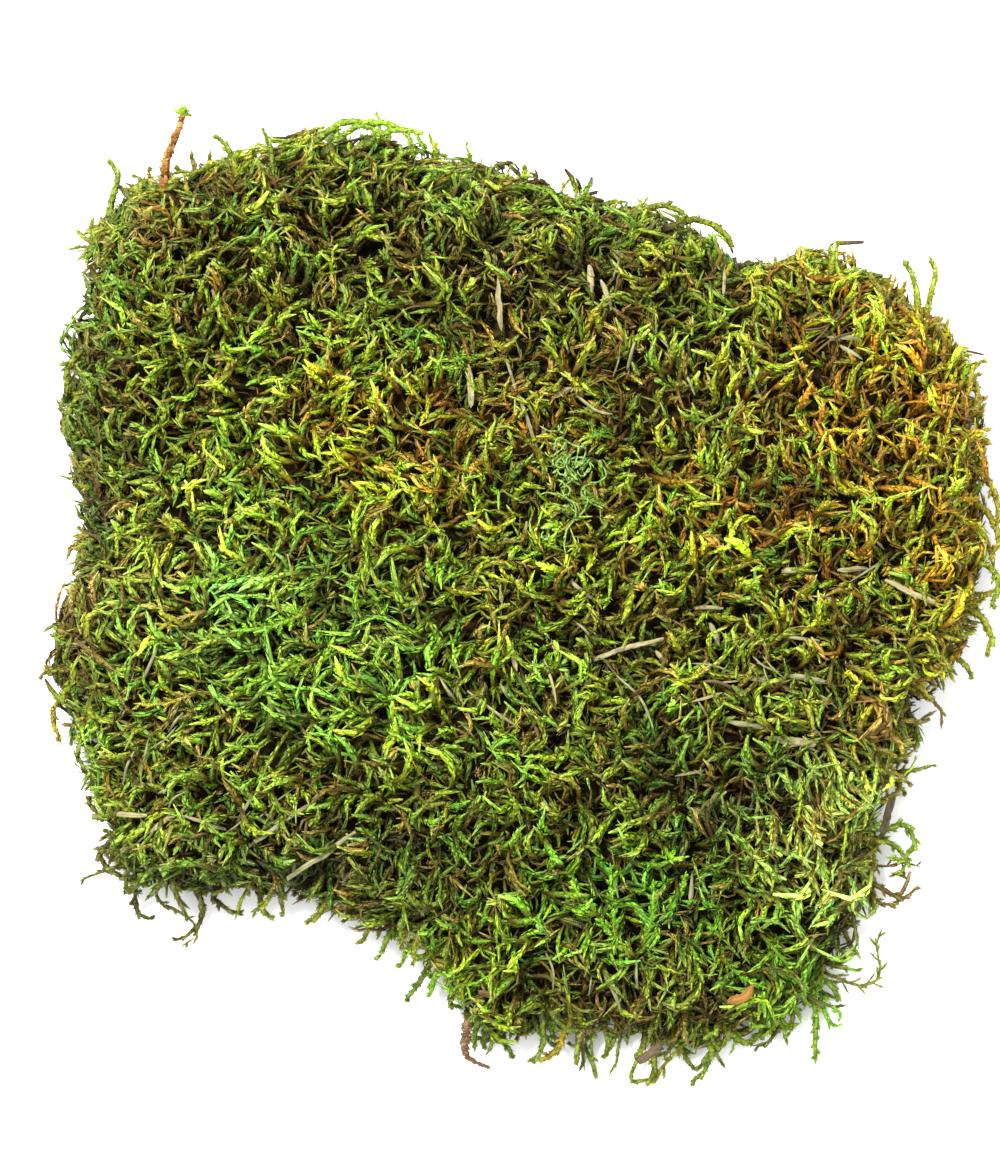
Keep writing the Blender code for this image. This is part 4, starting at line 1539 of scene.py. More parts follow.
TOP_FRONDS = (
    FrondShape(((24, -87), (23, -76), (22.5, -66.5)), 1.8, 16, 3.0, 1.2, 36, 0.1, LIVE_GREEN),
    FrondShape(((30.5, -88), (33, -79), (33.2, -70.5)), 1.8, 14, 2.8, 1.2, 34, 0.1, LIVE_GREEN),
    FrondShape(((29, -90), (22.5, -84), (17.6, -76.5)), 1.7, 14, 2.8, 1.2, 36, 0.1, srgb(126, 182, 25)),
    FrondShape(((20, -80), (14.5, -74), (12.5, -68)), 1.6, 10, 2.8, 1.1, 36, 0.1, srgb(112, 166, 24)),
    FrondShape(((36, -80), (39.8, -74), (41.5, -68.5)), 1.5, 10, 2.6, 1.1, 36, 0.1, srgb(120, 170, 25)),
    FrondShape(((80.5, -47.5), (81.5, -56), (80.4, -66.4)), 1.2, 9, 2.4, 0.8, 26, 0.2, PALE_GREEN,
        OLIVE_HEEL),
    FrondShape(((69.5, -42.6), (69.8, -50), (69, -56.6)), 1.2, 8, 2.4, 0.8, 26, 0.2, PALE_GREEN,
        OLIVE_HEEL),
    FrondShape(((74, -62), (76.5, -70), (75, -78)), 1.2, 9, 2.6, 0.9, 30, 0.2, srgb(150, 190, 35)),
    FrondShape(((86.5, -56), (88.5, -64), (86, -72)), 1.1, 9, 2.6, 0.8, 34, 0.2, srgb(146, 184, 36)),
    FrondShape(((60, -84), (66, -91), (70, -98)), 1.4, 12, 2.8, 1.0, 38, 0.1, srgb(110, 170, 23)),
    FrondShape(((50, -90), (55.5, -95), (62, -98)), 1.4, 12, 2.8, 1.0, 38, 0.1, srgb(118, 176, 24)),
    FrondShape(((-78, -4), (-87, -7), (-95, -13)), 1.4, 10, 3.4, 1.0, 44, 0.1, srgb(168, 159, 43),
        TAN_HEEL),
    FrondShape(((-80, -24), (-88, -27), (-96, -27)), 1.3, 9, 3.4, 0.9, 44, 0.1, srgb(176, 164, 46),
        TAN_HEEL),
    FrondShape(((-66, 8), (-74, 4), (-83, 3)), 1.8, 12, 3.8, 1.4, 50, 0.1, srgb(120, 170, 23)),
    FrondShape(((-52, -4), (-62, -8), (-72, -9)), 1.8, 12, 3.8, 1.4, 50, 0.1, srgb(116, 168, 22)),
    FrondShape(((-50, -16), (-60, -19), (-70, -24)), 1.8, 12, 3.8, 1.4, 50, 0.1, srgb(124, 172, 23)),
    FrondShape(((-34, 106), (-28, 112), (-18, 113.5)), 1.6, 10, 3.4, 1.2, 46, 0.1, srgb(150, 190, 37)),
    FrondShape(((-44, 110), (-38, 114.5), (-30, 116)), 1.6, 10, 3.4, 1.2, 46, 0.1, srgb(158, 194, 39)),
)


@dataclass
class LooseFronds:
    """The fronds that hang out past the rim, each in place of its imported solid."""

    plan: SheetPlan
    nursery: Nursery
    pieces: dict[str, bpy.types.Object] = field(default_factory=dict)

    def build(self) -> None:
        """Builds one piece a frond."""
        for n, (node, shape) in enumerate(LOOSE_FRONDS.items()):
            mesh = LeafyMesh(node.replace("frond", "leafy_frond"))
            maker = FrondMaker(self.nursery, np.random.default_rng(SEED + 500 + n))
            maker.grow(mesh, shape, shape.knots(self.plan))
            self.pieces[node] = mesh.piece(bpy.data.materials[LEAVES.name])
        log.info("%d loose fronds", len(self.pieces))

    def dress(self) -> None:
        """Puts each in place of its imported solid."""
        for node, piece in self.pieces.items():
            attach(piece, "root")
            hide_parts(node)


@dataclass
class TopFronds:
    """Larger feathery fronds that lie on the turf."""

    plan: SheetPlan
    surface: SheetSurface
    nursery: Nursery
    lift: float = 0.9 * MM
    pieces: list[bpy.types.Object] = field(default_factory=list)

    def build(self) -> None:
        """Builds them as one piece."""
        mesh = LeafyMesh("feathery_fronds")
        maker = FrondMaker(self.nursery, np.random.default_rng(SEED + 700))
        for shape in TOP_FRONDS:
            maker.grow(mesh, shape, shape.knots(self.plan, self.surface, self.lift))
        log.info("feathery_fronds: %d triangles", mesh.triangles())
        self.pieces.append(mesh.piece(bpy.data.materials[LEAVES.name]))

    def dress(self) -> None:
        """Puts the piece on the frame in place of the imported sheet."""
        for piece in self.pieces:
            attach(piece, "root")
            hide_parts(SHEET)


@dataclass(frozen=True)
class Fraying:
    """A stretch of the rim where strands hang out: its centre on the plan, its reach and its strands."""

    centre: tuple[float, float]
    reach: float
    count: int
    length: float
    body: Colour
    heel: Colour = DARK_HEEL
    curl: float = 0.24
    girth: float = 1.9


FRAYINGS = (
    Fraying((-108, -62), 14, 7, 5.0, srgb(96, 98, 20)),
    Fraying((-88, -74), 16, 17, 7.5, srgb(92, 98, 22), curl=0.35),
    Fraying((-60, -74), 18, 7, 7.0, srgb(124, 131, 22)),
    Fraying((-30, -86), 18, 8, 3.5, srgb(120, 145, 22)),
    Fraying((-14, -100), 12, 4, 5.5, srgb(128, 136, 34), TAN_HEEL, 0.3),
    Fraying((10, -108), 20, 20, 9.5, srgb(100, 124, 24), curl=0.32),
    Fraying((42, -110), 20, 19, 9.0, srgb(104, 122, 24), curl=0.32),
    Fraying((68, -100), 16, 14, 9.0, srgb(128, 164, 30), OLIVE_HEEL, 0.4),
    Fraying((84, -82), 16, 5, 6.0, srgb(146, 155, 37), TAN_HEEL, 0.5),
    Fraying((90, -62), 14, 8, 6.0, srgb(130, 150, 44), OLIVE_HEEL, 0.5),
    Fraying((94, -42), 14, 13, 7.5, srgb(128, 112, 28), DARK_HEEL, 0.3),
    Fraying((112, -12), 26, 9, 5.0, srgb(158, 153, 24), OLIVE_HEEL),
    Fraying((116, 35), 26, 8, 4.5, srgb(176, 145, 19), GOLD_HEEL),
    Fraying((104, 66), 18, 6, 4.5, srgb(168, 145, 22), GOLD_HEEL),
    Fraying((74, 84), 20, 5, 3.5, srgb(150, 143, 22), OLIVE_HEEL),
    Fraying((30, 98), 30, 8, 4.5, srgb(146, 145, 22), OLIVE_HEEL),
    Fraying((-20, 113), 24, 8, 5.0, srgb(150, 172, 30), OLIVE_HEEL),
    Fraying((-66, 110), 24, 13, 6.5, srgb(138, 128, 20), DARK_HEEL, 0.3),
    Fraying((-102, 98), 16, 13, 7.0, srgb(130, 135, 22), DARK_HEEL, 0.3),
    Fraying((-114, 50), 34, 8, 3.2, srgb(130, 135, 22), OLIVE_HEEL),
    Fraying((-114, -12), 24, 9, 3.4, srgb(132, 112, 25), DARK_HEEL, 0.3),
)


def strand(
    route: tuple[tuple[float, float], ...], height: float, body: Colour, girth: float = 1.5,
    branches: int = 3,
) -> FrondShape:
    """A strand at the rim, level along its whole length.

    Args:
        route: its knots on the plan.
        height: how high it lies, in millimetres.
        body: its colour.
        girth: how thick it is, in millimetres.
        branches: how many side shoots it has.

    Returns:
        The strand as a frond.
    """
    return FrondShape(
        tuple((x, y, height) for x, y in route),
        girth * 1.4, branches, 3.2, girth * 0.9, 36, 0.2, body, DARK_HEEL,
    )


DARK_STRAND = srgb(78, 80, 18)
OCHRE = srgb(150, 138, 26)

RIM_STRANDS = (
    strand(((-100, -58), (-105.8, -64.8), (-100.5, -70), (-95.3, -70.3)), 6, DARK_STRAND),
    strand(((-72, -70), (-77, -74.5), (-74, -78), (-69.5, -79.8)), 6, DARK_STRAND),
    strand(((-66, -70), (-65, -77.5), (-61.8, -81.3)), 6, OLIVE),
    strand(((-96, -66), (-97, -72.8), (-96.3, -79.3), (-92, -80.8)), 4, DARK_STRAND),
    strand(((-84, -70), (-80, -78), (-83, -84), (-88, -86.5)), 3, DARK_STRAND, 1.3, 4),
    strand(((77, 76), (78.2, 83), (77.4, 88)), 21, OLIVE, 1.9, 0),
    strand(((93, 72), (90, 77.5), (87.4, 81.8)), 20, srgb(130, 120, 26), 1.6, 0),
    strand(((-36, -80), (-38, -83), (-39.8, -87)), 8, OLIVE, 1.7, 2),
    strand(((-31, -82), (-33, -85), (-35.4, -90.5)), 8, srgb(120, 150, 26), 1.7, 2),
    strand(((-26, -85), (-28, -88), (-30.2, -93)), 8, srgb(120, 154, 26), 1.7, 2),
    strand(((-18, -90), (-21.3, -95), (-22.4, -100)), 7, srgb(120, 166, 30), 1.9, 2),
    strand(((86, -56), (91.3, -58), (96.5, -57), (99.3, -61.3), (96.3, -65.5), (92, -65)), 8,
        srgb(130, 160, 40), 1.5, 8),
    strand(((88, -60), (94, -62), (97.5, -66.5), (95, -70)), 6, srgb(140, 168, 44), 1.3, 4),
    strand(((86, -70), (91.3, -73), (95.5, -75), (97.5, -70.5), (93.3, -69)), 5, srgb(112, 92, 40), 1.2, 7),
    strand(((86, -74), (92, -77), (97, -75.5), (101, -72)), 4, srgb(120, 108, 40), 1.1, 4),
    strand(((76, -91), (80, -92.6), (83.5, -89)), 6, OLIVE, 1.3, 2),
    strand(((66, -100), (65.8, -106), (64.5, -109.2), (62, -112), (58.5, -112.6)), 4, DARK_STRAND, 1.3, 3),
    strand(((69, -99), (68.8, -104.5), (68, -110)), 4, OLIVE, 1.4, 2),
    strand(((75, -97), (76, -101.5), (77.4, -105.4), (79, -107.4), (81, -105.2), (79, -102.8)), 4,
        LIVE_GREEN, 1.2, 3),
    strand(((34, -108), (33.8, -114), (33.5, -120.3), (27.5, -122)), 3, OLIVE, 1.8, 4),
    strand(((32, -106), (31.3, -111.5), (27.5, -121)), 4, OLIVE, 1.7, 3),
    strand(((25, -104), (24, -110), (21, -116.5)), 4, OLIVE, 1.6, 2),
    strand(((-8, -102), (-8.6, -108), (-9.4, -113.5)), 5, srgb(110, 134, 30), 1.8, 3),
    strand(((-4.5, -103), (-4.4, -109), (-3, -113)), 5, srgb(104, 130, 28), 1.7, 2),
    strand(((72, -92), (78, -97), (81, -101.5)), 5, srgb(110, 140, 34), 1.8, 4),
    strand(((50, -104), (52, -110), (50, -114)), 5, OLIVE, 1.7, 2),
    strand(((15, -104), (14.8, -110.5), (14.5, -118)), 4, OLIVE, 1.5, 2),
    strand(((98, 62), (102, 67.6), (105, 68), (106.6, 65.8), (107.2, 63.4)), 17, OCHRE, 0.9, 1),
    strand(((110, 44), (114.6, 48.3), (114.8, 51.8), (114.4, 55.4), (116, 57)), 15, OCHRE, 1.4, 2),
    strand(((-70, 104), (-75, 109), (-80, 107.4), (-84.1, 106.8), (-87.4, 108.2)), 18, OLIVE, 1.6, 2),
    strand(((-94, 94), (-98, 100), (-101.5, 104.5)), 15, DARK_STRAND, 1.6, 3),
    strand(((-56, 110), (-49.5, 115.8), (-43.8, 119.2), (-37.5, 117.6), (-33.8, 115)), 21,
        srgb(140, 172, 40), 1.9, 4),
    strand(((-50, 110), (-44, 116), (-38, 119), (-30, 117.5), (-26.5, 113)), 21, srgb(150, 186, 48), 1.8,
        4),
    strand(((-40, 112), (-34, 116.4), (-27, 116.8), (-24, 112)), 21, srgb(146, 182, 46), 1.7, 3),
    strand(((24, 92), (30, 96.8), (36.5, 98.2), (43, 95)), 19, OLIVE, 1.9, 4),
    strand(((36, 92), (43.8, 94.8), (50.5, 92), (54, 87.5)), 19, OLIVE, 1.9, 4),
    strand(((-106, 66), (-111, 61.5), (-113.8, 57.5), (-114, 51)), 14, OLIVE, 1.9, 3),
    strand(((-106, 56), (-111.5, 50), (-114.2, 44), (-112, 39)), 14, srgb(124, 138, 26), 1.9, 3),
    strand(((-108, -18), (-114.8, -24.5), (-117.6, -29), (-115.4, -37)), 9, OCHRE, 1.7, 4),
    strand(((-106, -26), (-109.5, -32), (-111, -37), (-111.6, -41.5)), 8, DARK_STRAND, 1.6, 3),
    strand(((108, 36), (116.3, 30.5), (119.6, 25), (120, 17.5)), 15, OCHRE, 1.8, 3),
    strand(((109, 26), (117, 22), (120.3, 14.5), (117.6, 9.5)), 14, srgb(160, 150, 26), 1.8, 3),
    strand(((109, 10), (117.5, 8), (120.2, 3.6), (118, -2.8)), 14, srgb(140, 156, 30), 1.8, 3),
    strand(((108, 0), (115.5, -4.6), (118.2, -9.6), (117, -15)), 13, srgb(146, 152, 30), 1.8, 3),
    strand(((104, -10), (111.5, -16.5), (114, -20.5)), 12, OLIVE, 1.7, 2),
    strand(((94, -44), (100.5, -43), (104.5, -41.8)), 10, OLIVE, 1.2, 2),
)


@dataclass
class RimFringe:
    """The thin strands that hang out all round the torn rim."""

    plan: SheetPlan
    surface: SheetSurface
    nursery: Nursery
    proud: float = 6.0 * MM
    spot_spacing: float = 1.6 * MM
    lowest_knot: float = 1.7 * MM
    step: float = 2.6 * MM
    rooted: float = 3.0 * MM
    branch_counts: tuple[int, ...] = (0, 0, 1, 2, 3)
    pieces: list[bpy.types.Object] = field(default_factory=list)

    def build(self) -> None:
        """Builds them as one piece."""
        rng = np.random.default_rng(SEED + 900)
        points, normals = self.surface.spots(self.spot_spacing, rng, -0.2)
        rim = (np.abs(normals[:, 2]) < 0.75) & (points[:, 2] > 1.5 * MM)
        points, normals = points[rim], normals[rim]
        plan = self.plan.millimetres(points)
        mesh = LeafyMesh("rim_fringe")
        maker = FrondMaker(self.nursery, rng)
        for stretch in FRAYINGS:
            near = np.exp(-((np.linalg.norm(plan - np.array(stretch.centre), axis=1) / stretch.reach) ** 2))
            chosen = rng.choice(len(points), stretch.count, replace=False, p=near / near.sum())
            for start, normal in zip(points[chosen], normals[chosen]):
                knots = self.wander(start, normal, stretch, rng)
                girth = stretch.girth * np.clip(rng.normal(1, 0.2), 0.6, 1.5)
                branches, colours = int(rng.choice(self.branch_counts)), (stretch.body, stretch.heel)
                shape = FrondShape((), girth, branches, 3.0, girth * 0.75, 34, 0.35, *colours)
                maker.grow(mesh, shape, knots)
        for shape in RIM_STRANDS:
            maker.grow(mesh, shape, shape.knots(self.plan))
        log.info("rim_fringe: %d triangles", mesh.triangles())
        self.pieces.append(mesh.piece(bpy.data.materials[LEAVES.name]))

    def wander(
        self, start: Array, normal: Array, stretch: Fraying, rng: np.random.Generator
    ) -> list[Vector]:
        """A strand's route from inside the rim outwards, turning and sinking as it goes.

        Args:
            start: where it leaves the sheet.
            normal: the outward direction there.
            stretch: the stretch of rim that it belongs to.
            rng: the source of chance.

        Returns:
            Its knots.
        """
        edge_low, edge_high = np.array(CAD_BOX[0]) - self.proud, np.array(CAD_BOX[1]) + self.proud
        knots = [Vector(start - normal * self.rooted)]
        heading = math.atan2(normal[1], normal[0]) + rng.normal(0, 0.4)
        turn, climb = rng.normal(0, stretch.curl), rng.normal(0, 0.25)
        size = stretch.length * MM * np.clip(rng.normal(1, 0.35), 0.4, 1.8) + self.rooted
        steps = max(2, round(size / self.step))
        for _ in range(steps):
            ahead = Vector((math.cos(heading), math.sin(heading), climb)) * (size / steps)
            spot = np.clip(np.array(knots[-1] + ahead), edge_low, edge_high)
            knots.append(Vector((*spot[:2], max(spot[2], self.lowest_knot))))
            heading, climb = heading + turn + rng.normal(0, 0.2), climb - 0.08
        return knots

    def dress(self) -> None:
        """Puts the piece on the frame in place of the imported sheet."""
        for piece in self.pieces:
            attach(piece, "root")
            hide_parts(SHEET)


# ---- Dry grass, wood and other litter ----


def centre_line(node: str, slices: int) -> list[Vector]:
    """The middle of a packed stick, from end to end.

    Args:
        node: the stick's node.
        slices: how many stretches it is cut into to find its middle.

    Returns:
        Points along it, its two ends included.
    """
    points = np.array([v.co[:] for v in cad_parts[node].data.vertices])
    middle = points.mean(0)
    axis = np.linalg.svd(points - middle, full_matrices=False)[2][0]
    reach = (points - middle) @ axis
    marks = np.linspace(reach.min() - 1e-6, reach.max() + 1e-6, slices + 1)
    line = []
    for low, high in zip(marks, marks[1:]):
        inside = (reach >= low) & (reach <= high)
        if inside.sum() > 5:
            line.append(points[inside].mean(0))
    line[0] = line[0] + axis * (reach.min() - (line[0] - middle) @ axis)
    line[-1] = line[-1] + axis * (reach.max() - (line[-1] - middle) @ axis)
    if len(line) == 2:
        line.insert(1, (line[0] + line[1]) / 2)
    return [Vector(spot) for spot in line]


@dataclass(frozen=True)
class StickCut:
    """How a dry piece is cut: across, and at its two ends."""

    width: float
    thickness: float
    sides: int = 8
    fold: float = 0.0
    twist: float = 0.0
    taper: tuple[float, float] = (0.45, 0.3)
    rough: float = 0.06
    torn: float = 0.35

    @classmethod
    def stem(cls, width: float, taper: tuple[float, float] = (0.8, 0.6)) -> "StickCut":
        """A round stem."""
        return cls(width, width * 0.8, taper=taper, rough=0.08, torn=0.2)

    @classmethod
    def blade(cls, width: float) -> "StickCut":
        """A thin folded blade of grass."""
        return cls(width, 0.4 * MM, fold=0.28, twist=0.5)

    def girth(self, share: float) -> float:
        """How wide it is there, as a share of its width."""
        ends = min(1.0, self.taper[0] + share / 0.12 * (1 - self.taper[0]))
        return min(ends, self.taper[1] + (1 - share) / 0.25 * (1 - self.taper[1]))


class DryMesh:
    """Dry pieces drawn into one mesh, with the attributes their finish reads."""

    def __init__(self, name: str, rng: np.random.Generator) -> None:
        """Starts an empty mesh.

        Args:
            name: the piece's name.
            rng: the source of chance.
        """
        self.name = name
        self.rng = rng
        self.body = bmesh.new()
        self.layers = [self.body.verts.layers.float.new(key) for key in ("along", "across", "piece")]

    def draw(self, line: list[Vector], cut: StickCut, step: float = 0.9 * MM) -> None:
        """Draws one dry piece.

        Args:
            line: the route of its middle.
            cut: how it is cut.
            step: how far apart its rings are.
        """
        rng = self.rng
        route = smooth_route(line, step)
        roll, twist, tag = rng.normal(0, 0.2), rng.normal(0, cut.twist), rng.uniform(0, 50)
        rings, marks, run = [], [], 0.0
        for i, here in enumerate(route):
            ahead = (route[min(i + 1, len(route) - 1)] - route[max(i - 1, 0)]).normalized()
            share = i / (len(route) - 1)
            side = ahead.cross(Vector((0, 0, 1))).normalized()
            side.rotate(Matrix.Rotation(roll + twist * share, 3, ahead))
            up = side.cross(ahead)
            end = cut.torn * cut.width if i in (0, len(route) - 1) else 0.0
            girth = cut.girth(share)
            half_width, half_thickness = cut.width / 2 * girth, cut.thickness / 2 * (0.4 + 0.6 * girth)
            ring = []
            for k in range(cut.sides):
                angle = math.tau * k / cut.sides
                across = math.cos(angle) * half_width * (1 + rng.normal(0, cut.rough))
                over = math.sin(angle) * half_thickness * (1 + rng.normal(0, cut.rough))
                over -= abs(across) * cut.fold
                ring.append(here + side * across + up * over + ahead * rng.uniform(-end, end))
            rings.append(ring)
            marks.append(run)
            run += (route[min(i + 1, len(route) - 1)] - here).length
        along, across, piece = self.layers
        for row, mark in zip(lofted(self.body, rings), marks):
            for k, vert in enumerate(row):
                vert[along], vert[across], vert[piece] = mark, abs(2 * k / cut.sides - 1), tag

    def piece(self, finish: DryFinish) -> bpy.types.Object:
        """The finished object, linked to the scene.

        Args:
            finish: its finish.

        Returns:
            The object.
        """
        bmesh.ops.recalc_face_normals(self.body, faces=self.body.faces)
        lowest = min(v.co.z for v in self.body.verts)
        if lowest < FLOOR_GAP:
            bmesh.ops.translate(self.body, vec=(0, 0, FLOOR_GAP - lowest), verts=self.body.verts)
        mesh = bpy.data.meshes.new(self.name)
        self.body.to_mesh(mesh)
        self.body.free()
        mesh.materials.append(bpy.data.materials[finish.name])
        return linked(self.name, mesh)


STRAW_CUTS = {
    "straw_01": (1.3, True), "straw_02": (1.8, True), "straw_03": (1.3, True), "straw_04": (1.6, True),
    "straw_05": (0.9, False), "straw_06": (1.5, True), "straw_07": (1.2, True), "straw_08": (1.6, True),
    "straw_09": (1.3, False), "straw_10": (1.2, True), "straw_11": (1.4, True), "straw_12": (1.0, False),
    "straw_13": (1.5, True), "straw_14": (1.3, True), "straw_15": (1.5, False), "straw_16": (0.9, False),
    "straw_17": (1.5, True), "straw_18": (1.6, True), "straw_19": (1.3, False), "straw_20": (2.0, True),
    "straw_21": (1.3, False), "straw_22": (1.4, True), "straw_23": (0.9, False), "straw_24": (1.3, False),
    "straw_25": (1.3, False), "straw_26": (1.4, True), "straw_27": (1.3, True),
}
GREY_STRAWS = {f"straw_{number:02d}" for number in (5, 11, 13, 18, 19, 24, 25, 26, 27)}


@dataclass
class DryGrass:
    """The blades and stems of dry grass that lie in the shoots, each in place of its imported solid."""

    sunk: float = 0.9 * MM
    dip: float = 1.4 * MM
    waver: float = 0.12 * MM
    pieces: dict[str, bpy.types.Object] = field(default_factory=dict)

    def build(self) -> None:
        """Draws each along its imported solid, a little deeper in the shoots and with one end under them."""
        for n, (node, (width, is_blade)) in enumerate(STRAW_CUTS.items()):
            rng = np.random.default_rng(SEED + 1100 + n)
            line = centre_line(node, 6)
            for i, point in enumerate(line):
                share = i / (len(line) - 1)
                point.z -= self.sunk + self.dip * (share if n % 2 else 1 - share) ** 3
                point.x += rng.normal(0, 1) * self.waver
                point.y += rng.normal(0, 1) * self.waver
            mesh = DryMesh(f"dry_{node}", rng)
            mesh.draw(line, StickCut.blade(width * MM) if is_blade else StickCut.stem(width * MM))
            self.pieces[node] = mesh.piece(GREY_STRAW if node in GREY_STRAWS else STRAW)
        log.info("%d pieces of dry grass", len(self.pieces))

    def dress(self) -> None:
        """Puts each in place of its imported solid."""
        for node, piece in self.pieces.items():
            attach(piece, "root")
            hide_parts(node)


@dataclass
class Woodwork:
    """The twigs, the needle, the bark flake and the scrap of leaf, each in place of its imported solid."""

    plan: SheetPlan
    lift: float = 4.2 * MM
    higher: dict[str, float] = field(default_factory=lambda: {"twig_brown": 7.5 * MM, "needle": 6.5 * MM})
    splinter: tuple[tuple[float, float, float], ...] = (
        (15.6, -112, 5.4), (16, -116, 4.2), (16.3, -119, 3.0),
    )
    pieces: dict[str, tuple[bpy.types.Object, str]] = field(default_factory=dict)

    def build(self) -> None:
        """Draws them."""
        scrap = StickCut(2.4 * MM, 0.35 * MM, 10, 0.5, 0.9, taper=(0.4, 0.2), rough=0.12, torn=0.3)
        flake = StickCut(2.2 * MM, 0.9 * MM, 10, taper=(0.6, 0.4), rough=0.14, torn=0.3)
        for node, cut, finish, slot in (
            ("twig_dark", self.twig(2.0 * MM, 1.9 * MM, (0.9, 0.8), 0.12), DARK_BARK, "dark_bark"),
            ("twig_brown", self.twig(2.3 * MM, 2.2 * MM, (0.85, 0.9), 0.15), BROWN_BARK, "brown_bark"),
            ("needle", StickCut(0.6 * MM, 0.55 * MM, 6, taper=(0.9, 0.5)), DARK_BARK, "dark_bark"),
            ("leaf_scrap", scrap, DEAD_LEAF, "leaf_scrap"),
            ("bark_flake", flake, CHIP_BARK, "brown_bark"),
        ):
            self.draw(node, cut, finish, slot)

    @staticmethod
    def twig(width: float, thickness: float, taper: tuple[float, float], torn: float) -> StickCut:
        """A stout twig's cut."""
        return StickCut(width, thickness, 10, taper=taper, rough=0.1, torn=torn)

    def draw(self, node: str, cut: StickCut, finish: DryFinish, slot: str) -> None:
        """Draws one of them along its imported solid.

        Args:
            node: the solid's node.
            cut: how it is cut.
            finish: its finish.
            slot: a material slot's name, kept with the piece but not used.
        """
        mesh = DryMesh(f"{node}_detail", np.random.default_rng(SEED + 1300 + len(self.pieces)))
        rise = Vector((0, 0, self.higher.get(node, self.lift)))
        mesh.draw([spot + rise for spot in centre_line(node, 5)], cut, 0.6 * MM)
        if node == "bark_flake":
            spike = [self.plan.at(*spot) for spot in self.splinter]
            mesh.draw(spike, StickCut.stem(0.5 * MM, (1.0, 0.2)), 0.6 * MM)
        self.pieces[node] = mesh.piece(finish), slot

    def dress(self) -> None:
        """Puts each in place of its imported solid."""
        for node, (piece, slot) in self.pieces.items():
            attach(piece, "root")
            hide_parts(node)


@dataclass
class Root:
    """The scaly brown root that hangs from the bottom rim, with its side loop."""

    plan: SheetPlan
    nursery: Nursery
    bark: Colour = srgb(158, 120, 82)
    girth: float = 2.3
    lift: float = 13.0 * MM
    scale_length: float = 3.2 * MM
    step: float = 0.5 * MM
    stem_widths: tuple[float, float] = (1.25, 0.35)
    loop_widths: tuple[float, float] = (0.3, 0.22)
    loop: tuple[tuple[float, float, float], ...] = (
        (-13.3, -109, 3.6), (-14.6, -110.6, 3.2), (-15, -113, 2.6), (-14.2, -115, 2.2),
    )
    pieces: list[bpy.types.Object] = field(default_factory=list)

    def build(self) -> None:
        """Grows its scales."""
        rng = np.random.default_rng(SEED + 1400)
        mesh = LeafyMesh("scaly_root")
        for line, (first, last) in (
            (self.lifted(centre_line("root", 7)), self.stem_widths),
            ([self.plan.at(*spot) for spot in self.loop], self.loop_widths),
        ):
            route = smooth_route(line, self.step)
            marks = route[:: round(self.scale_length / self.step)] + [route[-1]]
            for i, (start, end) in enumerate(zip(marks, marks[1:])):
                width = self.girth * MM * (first + (last - first) * i / (len(marks) - 1))
                reach = np.array(end + (end - start) * 0.4)
                scales = shoots_along(np.array(start), reach, width, self.bark, self.bark, rng, 0.02, 0.02)
                self.nursery.plant(mesh, scales, np.array([ShootKind.PLUMP.place]), rng)
        self.pieces.append(mesh.piece(bpy.data.materials[ROOT_SCALES.name]))

    def lifted(self, line: list[Vector]) -> list[Vector]:
        """The line with its upper end raised clear of the shoots round it."""
        line = sorted(line, key=lambda spot: -spot.y)
        return [spot + Vector((0, 0, self.lift * (1 - i / (len(line) - 1)))) for i, spot in enumerate(line)]

    def dress(self) -> None:
        """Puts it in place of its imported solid."""
        for piece in self.pieces:
            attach(piece, "root")
            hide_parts("root")


@dataclass
class LichenTuft:
    """The pale tangle of lichen threads near the middle, and its tail."""

    plan: SheetPlan
    surface: SheetSurface
    nursery: Nursery
    threads: int = 46
    centre: tuple[float, float] = (12.0, 31.0)
    reach: tuple[float, float] = (5.4, 9.5)
    girth: float = 0.66 * MM
    stride: float = 1.15
    colour: Colour = srgb(150, 186, 90)
    tail: tuple[tuple[float, float], ...] = ((15, 25), (17, 22.5), (13.8, 19), (11, 15), (11.5, 10))
    pieces: list[bpy.types.Object] = field(default_factory=list)

    def build(self) -> None:
        """Grows curly threads from turning walks over the turf."""
        rng = np.random.default_rng(SEED + 1500)
        mesh = LeafyMesh("lichen_curls")
        routes = [[self.above(*spot, 1.6) for spot in self.tail]]
        for _ in range(self.threads):
            x, y = np.array(self.centre) + rng.normal(0, 0.55, 2) * np.array(self.reach)
            heading, turn, height = rng.uniform(0, math.tau), rng.normal(0, 0.75), rng.uniform(0.4, 2.6)
            walk = []
            for _ in range(rng.integers(4, 9)):
                walk.append(self.above(x, y, height))
                x, y = x + math.cos(heading) * self.stride, y + math.sin(heading) * self.stride
                heading += turn + rng.normal(0, 0.35)
                height = np.clip(height + rng.normal(0, 0.5), 0.2, 3.2)
            routes.append(walk)
        for walk in routes:
            for start, middle, end in zip(walk[::2], walk[1::2], walk[2::2]):
                reach = np.array(end + (end - middle) * 0.3)
                tones = self.colour, self.colour
                thread = shoots_along(np.array(start), reach, self.girth, *tones, rng, 0, 0)
                thread.bend[:] = np.array(middle * 2 - (start + end) / 2)
                self.nursery.plant(mesh, thread, np.array([ShootKind.THREAD.place]), rng)
        self.pieces.append(mesh.piece(bpy.data.materials[LICHEN.name]))

    def above(self, x: float, y: float, lift: float) -> Vector:
        """A point lift millimetres over the turf at a plan point."""
        return self.surface.above(self.plan.at(x, y), lift * MM)

    def dress(self) -> None:
        """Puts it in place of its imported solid."""
        for piece in self.pieces:
            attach(piece, "root")
            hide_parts("lichen_tuft")


class Litter(Enum):
    """What small loose litter is made of."""

    STRAW = STRAW
    GREY = GREY_STRAW
    RUST = ROOT_BARK
    BARK = DARK_BARK


